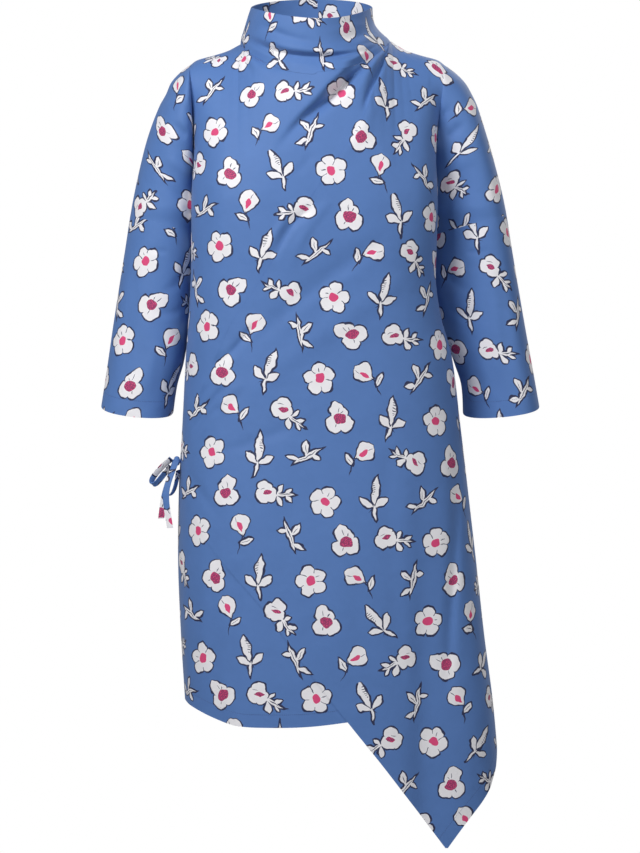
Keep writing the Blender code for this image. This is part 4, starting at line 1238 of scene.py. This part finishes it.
def flower_print():
    """The node group that draws the print."""
    group, start, finish = node_group(
        "Flower print", {"Flat place": "Vector", "Ground": "Color"}, {"Colour": "Color"}
    )
    flat, ground = start.outputs["Flat place"], start.outputs["Ground"]
    wobble = placed(group, "TexNoise", {"Vector": flat, "Scale": 72, "Detail": 1.5})
    u, v, _ = signals_of(group, "SeparateXYZ", flat)
    tilt_x, tilt_y = math.cos(LAYOUT_TILT), math.sin(LAYOUT_TILT)
    u, v = u * tilt_x + v * tilt_y, v * tilt_x - u * tilt_y
    column = (u / CELL).whole()
    v = v + (column * 0.5).fraction() * CELL
    row = (v / CELL).whole()
    pair = placed(group, "CombineXYZ", {"X": column.socket, "Y": row.socket})
    dice = placed(group, "TexWhiteNoise", {"Vector": pair.outputs["Vector"]}, noise_dimensions="2D")
    first, second, third = signals_of(group, "SeparateColor", dice.outputs["Color"])
    shake_x, shake_y, _ = signals_of(group, "SeparateColor", wobble.outputs["Color"])
    kind = ((column * 2 + row * 5) / 6).fraction() * 6
    chosen = [abs(kind - k).below(0.5) for k in range(len(MOTIFS))]
    chosen[0] = chosen[0].most(kind.above(5.5))
    free = (chosen[0] + chosen[1]).plus(FLOWER_SHIFT - OTHER_SHIFT, OTHER_SHIFT)
    x0, y0 = (
        ((place / CELL).fraction() - 0.5) * CELL - (thrown - 0.5) * free + (shake - 0.5) * WOBBLE
        for place, thrown, shake in ((u, first, shake_x), (v, second, shake_y))
    )
    angle = third.plus(1.5, -0.75 - LAYOUT_TILT)
    flip = (third * 7.3).fraction().above(0.5).plus(-2.0, 1.0)
    x = (x0 * angle.cosine() + y0 * angle.sine()) * flip
    y = y0 * angle.cosine() - x0 * angle.sine()
    drawn = [draw(x, y) for draw in MOTIFS]
    depth, rose, plum, stroke = (
        sum(mask * motif[part] for mask, motif in zip(chosen, drawn)) for part in range(4)
    )
    speck = placed(group, "TexVoronoi", {"Vector": flat, "Scale": 720}, voronoi_dimensions="2D")
    dots = Signal(group, speck.outputs["Distance"]).above(0.50)
    inside = depth.above(0.0002)
    colour = colour_mix(group, depth.above(-OUTLINE), ground, INK)
    colour = colour_mix(group, inside, colour, WHITE)
    colour = colour_mix(group, inside * rose.above(0), colour, ROSE)
    colour = colour_mix(group, inside * plum.above(0), colour, PLUM)
    colour = colour_mix(group, inside * plum.above(0) * dots, colour, ROSE)
    colour = colour_mix(group, stroke.above(0), colour, INK)
    group.links.new(colour, finish.inputs["Colour"])
    return group


FLOWER_PRINT = flower_print()
print("print group:", len(FLOWER_PRINT.nodes), "nodes")

# %% [markdown]
# ## The cloth's finish
#
# The dress is a matt, fine, plain weave with a slight stiffness. Close up it shows its threads, and
# at a distance small dents. Both are bumps. Its colour is also painted a little darker in the dents'
# hollows and lighter on their rises, as painted shade. The hems are turned up and stitched with a
# line of small stitches, which pulls the cloth in a little. One node group makes the height of all
# this and the painted shade, so each material places it with its own amount.


# %% Weave, dents and stitches
THREAD_SCALE, DENT_SCALES = 480, (26, 90)
PUCKER_REACH, PUCKER_RATE = 0.006, 620
STITCH_WIDTH, STITCH_PITCH = 0.00076, 0.0027


def cloth_surface():
    """The node group for the height of threads, dents and hems, for the stitches' mask, and for a painted
    shade that darkens the dents' hollows.
    """
    group, start, finish = node_group(
        "Cloth surface", {"Flat place": "Vector", "Hem place": "Vector"},
        {"Height": "Float", "Stitches": "Float", "Shade": "Float"},
    )
    flat = start.outputs["Flat place"]
    thread = {"Vector": flat, "Scale": THREAD_SCALE, "Distortion": 0.6}
    waves = [placed(group, "TexWave", thread, bands_direction=way) for way in "XY"]
    noises = [placed(group, "TexNoise", {"Vector": flat, "Scale": s, "Detail": 2}) for s in DENT_SCALES]
    threads, dents = ([Signal(group, node.outputs["Fac"]) for node in nodes] for nodes in (waves, noises))
    along, inside, _ = signals_of(group, "SeparateXYZ", start.outputs["Hem place"])
    near = (1 - (abs(inside) / PUCKER_REACH)).most(0.0)
    pucker = (along * PUCKER_RATE).sine() * near * 0.00006
    turned_up = inside.below(0.0) * 0.00018
    stitches = abs(inside).below(STITCH_WIDTH / 2) * (along / STITCH_PITCH).fraction().below(0.68)
    height = threads[0].plus(0.000012, threads[1] * 0.000012)
    height = dents[0].plus(0.0011, dents[1].plus(0.00020, height))
    height = height + pucker + turned_up - stitches * 0.00012
    # painted shade: the colour is made a few percent darker where the dents sink and lighter where they
    # rise
    shade = dents[0] * 0.10 + dents[1] * 0.05 + 0.925
    for name, signal in (("Height", height), ("Stitches", stitches), ("Shade", shade)):
        group.links.new(signal.socket, finish.inputs[name])
    return group


CLOTH_SURFACE = cloth_surface()
print("surface group:", len(CLOTH_SURFACE.nodes), "nodes")


# %% Materials
def printed_cloth(name, ground, paleness, roughness):
    """A material of printed cloth. Paleness is how far the ground covers the print, as on its back."""
    material = bpy.data.materials.new(name)
    material.use_nodes = True
    tree = material.node_tree
    shader = tree.nodes["Principled BSDF"]
    flat, hem = (placed(tree, "UVMap", uv_map=name).outputs["UV"] for name in ("cloth", "hem"))
    surface = placed(tree, "Group", {"Flat place": flat, "Hem place": hem}, node_tree=CLOTH_SURFACE)
    drawing = placed(tree, "Group", {"Flat place": flat, "Ground": ground}, node_tree=FLOWER_PRINT)
    # the print is scaled by the painted shade of the dents
    scaled = {0: drawing.outputs["Colour"], "Scale": surface.outputs["Shade"]}
    shade = placed(tree, "VectorMath", scaled, operation="SCALE")
    colour = shade.outputs["Vector"]
    if paleness:
        colour = colour_mix(tree, paleness, colour, ground)
    colour = colour_mix(tree, Signal(tree, surface.outputs["Stitches"]) * 0.45, colour, STITCH_COLOUR)
    tree.links.new(colour, shader.inputs["Base Color"])
    bump = placed(tree, "Bump", {"Distance": 1.0, "Strength": 1.0, "Height": surface.outputs["Height"]})
    tree.links.new(bump.outputs["Normal"], shader.inputs["Normal"])
    gloss = {"Specular IOR Level": 0.42, "Sheen Weight": 0.16, "Sheen Roughness": 0.45}
    for name, value in {"Roughness": roughness, **gloss}.items():
        shader.inputs[name].default_value = value
    return material


STITCH_COLOUR = (0.03, 0.06, 0.2, 1)
GROUND = (0.085, 0.191, 0.472, 1)
right_side = printed_cloth("Printed cloth", GROUND, 0.0, 0.66)
wrong_side = printed_cloth("Printed cloth, wrong side", (0.20, 0.30, 0.56, 1), 0.62, 0.74)
print("materials:", right_side.name, "and", wrong_side.name)

# %% [markdown]
# ## Dressing the model
#
# Each piece takes the place of its plain solid, which is hidden. The neck and the tie are doubled
# cloth, so both of their sides show the print.

# %% Cuts and places
# each piece with its solid, the box and area of its cut, how it is held and what it rests on
CUTS = [
    (outer_front, "front_outer", (0.633, 1.121), 0.345, "draped", [under_front, back_panel]),
    (under_front, "front_under", (0.584, 0.958), 0.370, "draped", [back_panel]),
    (back_panel, "back", (0.784, 0.992), 0.489, "draped", []),
    (right_sleeve, "sleeve_right", (0.326, 0.273), 0.080, "hung", [under_front, back_panel]),
    (left_sleeve, "sleeve_left", (0.338, 0.273), 0.083, "hung", [outer_front, back_panel]),
    (neck, "collar", (0.627, 0.153), 0.035, "draped", [under_front, outer_front, back_panel]),
    (upper_loop, "tie_loop_upper", (0.010, 0.082), 0.00070, "folded", [knot]),
    (lower_loop, "tie_loop_lower", (0.010, 0.082), 0.00070, "folded", [knot]),
    (long_end, "tie_end_long", (0.010, 0.092), 0.00078, "hung", [knot]),
    (short_end, "tie_end_short", (0.010, 0.080), 0.00068, "hung", [knot]),
]
DOUBLED = {neck, upper_loop, lower_loop, long_end, short_end}
for piece, node, flat, area, held, rests_on in CUTS:
    piece.data.materials[0] = right_side
    piece.data.materials[1] = right_side if piece in DOUBLED else wrong_side
    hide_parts(node)
    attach(piece, "root")
knot.data.materials.clear()
knot.data.materials.append(right_side)
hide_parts("tie_knot")
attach(knot, "root")
print("pieces:", len(CUTS) + 1)

# %% [markdown]
# ## The size of the dressed model
#
# The box of the dressed model is printed. The cloth may stand a few millimetres proud of the
# solids, and no more.

# %% Size
low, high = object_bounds()
print("dress box", [round(v, 4) for v in (*low, *high)])
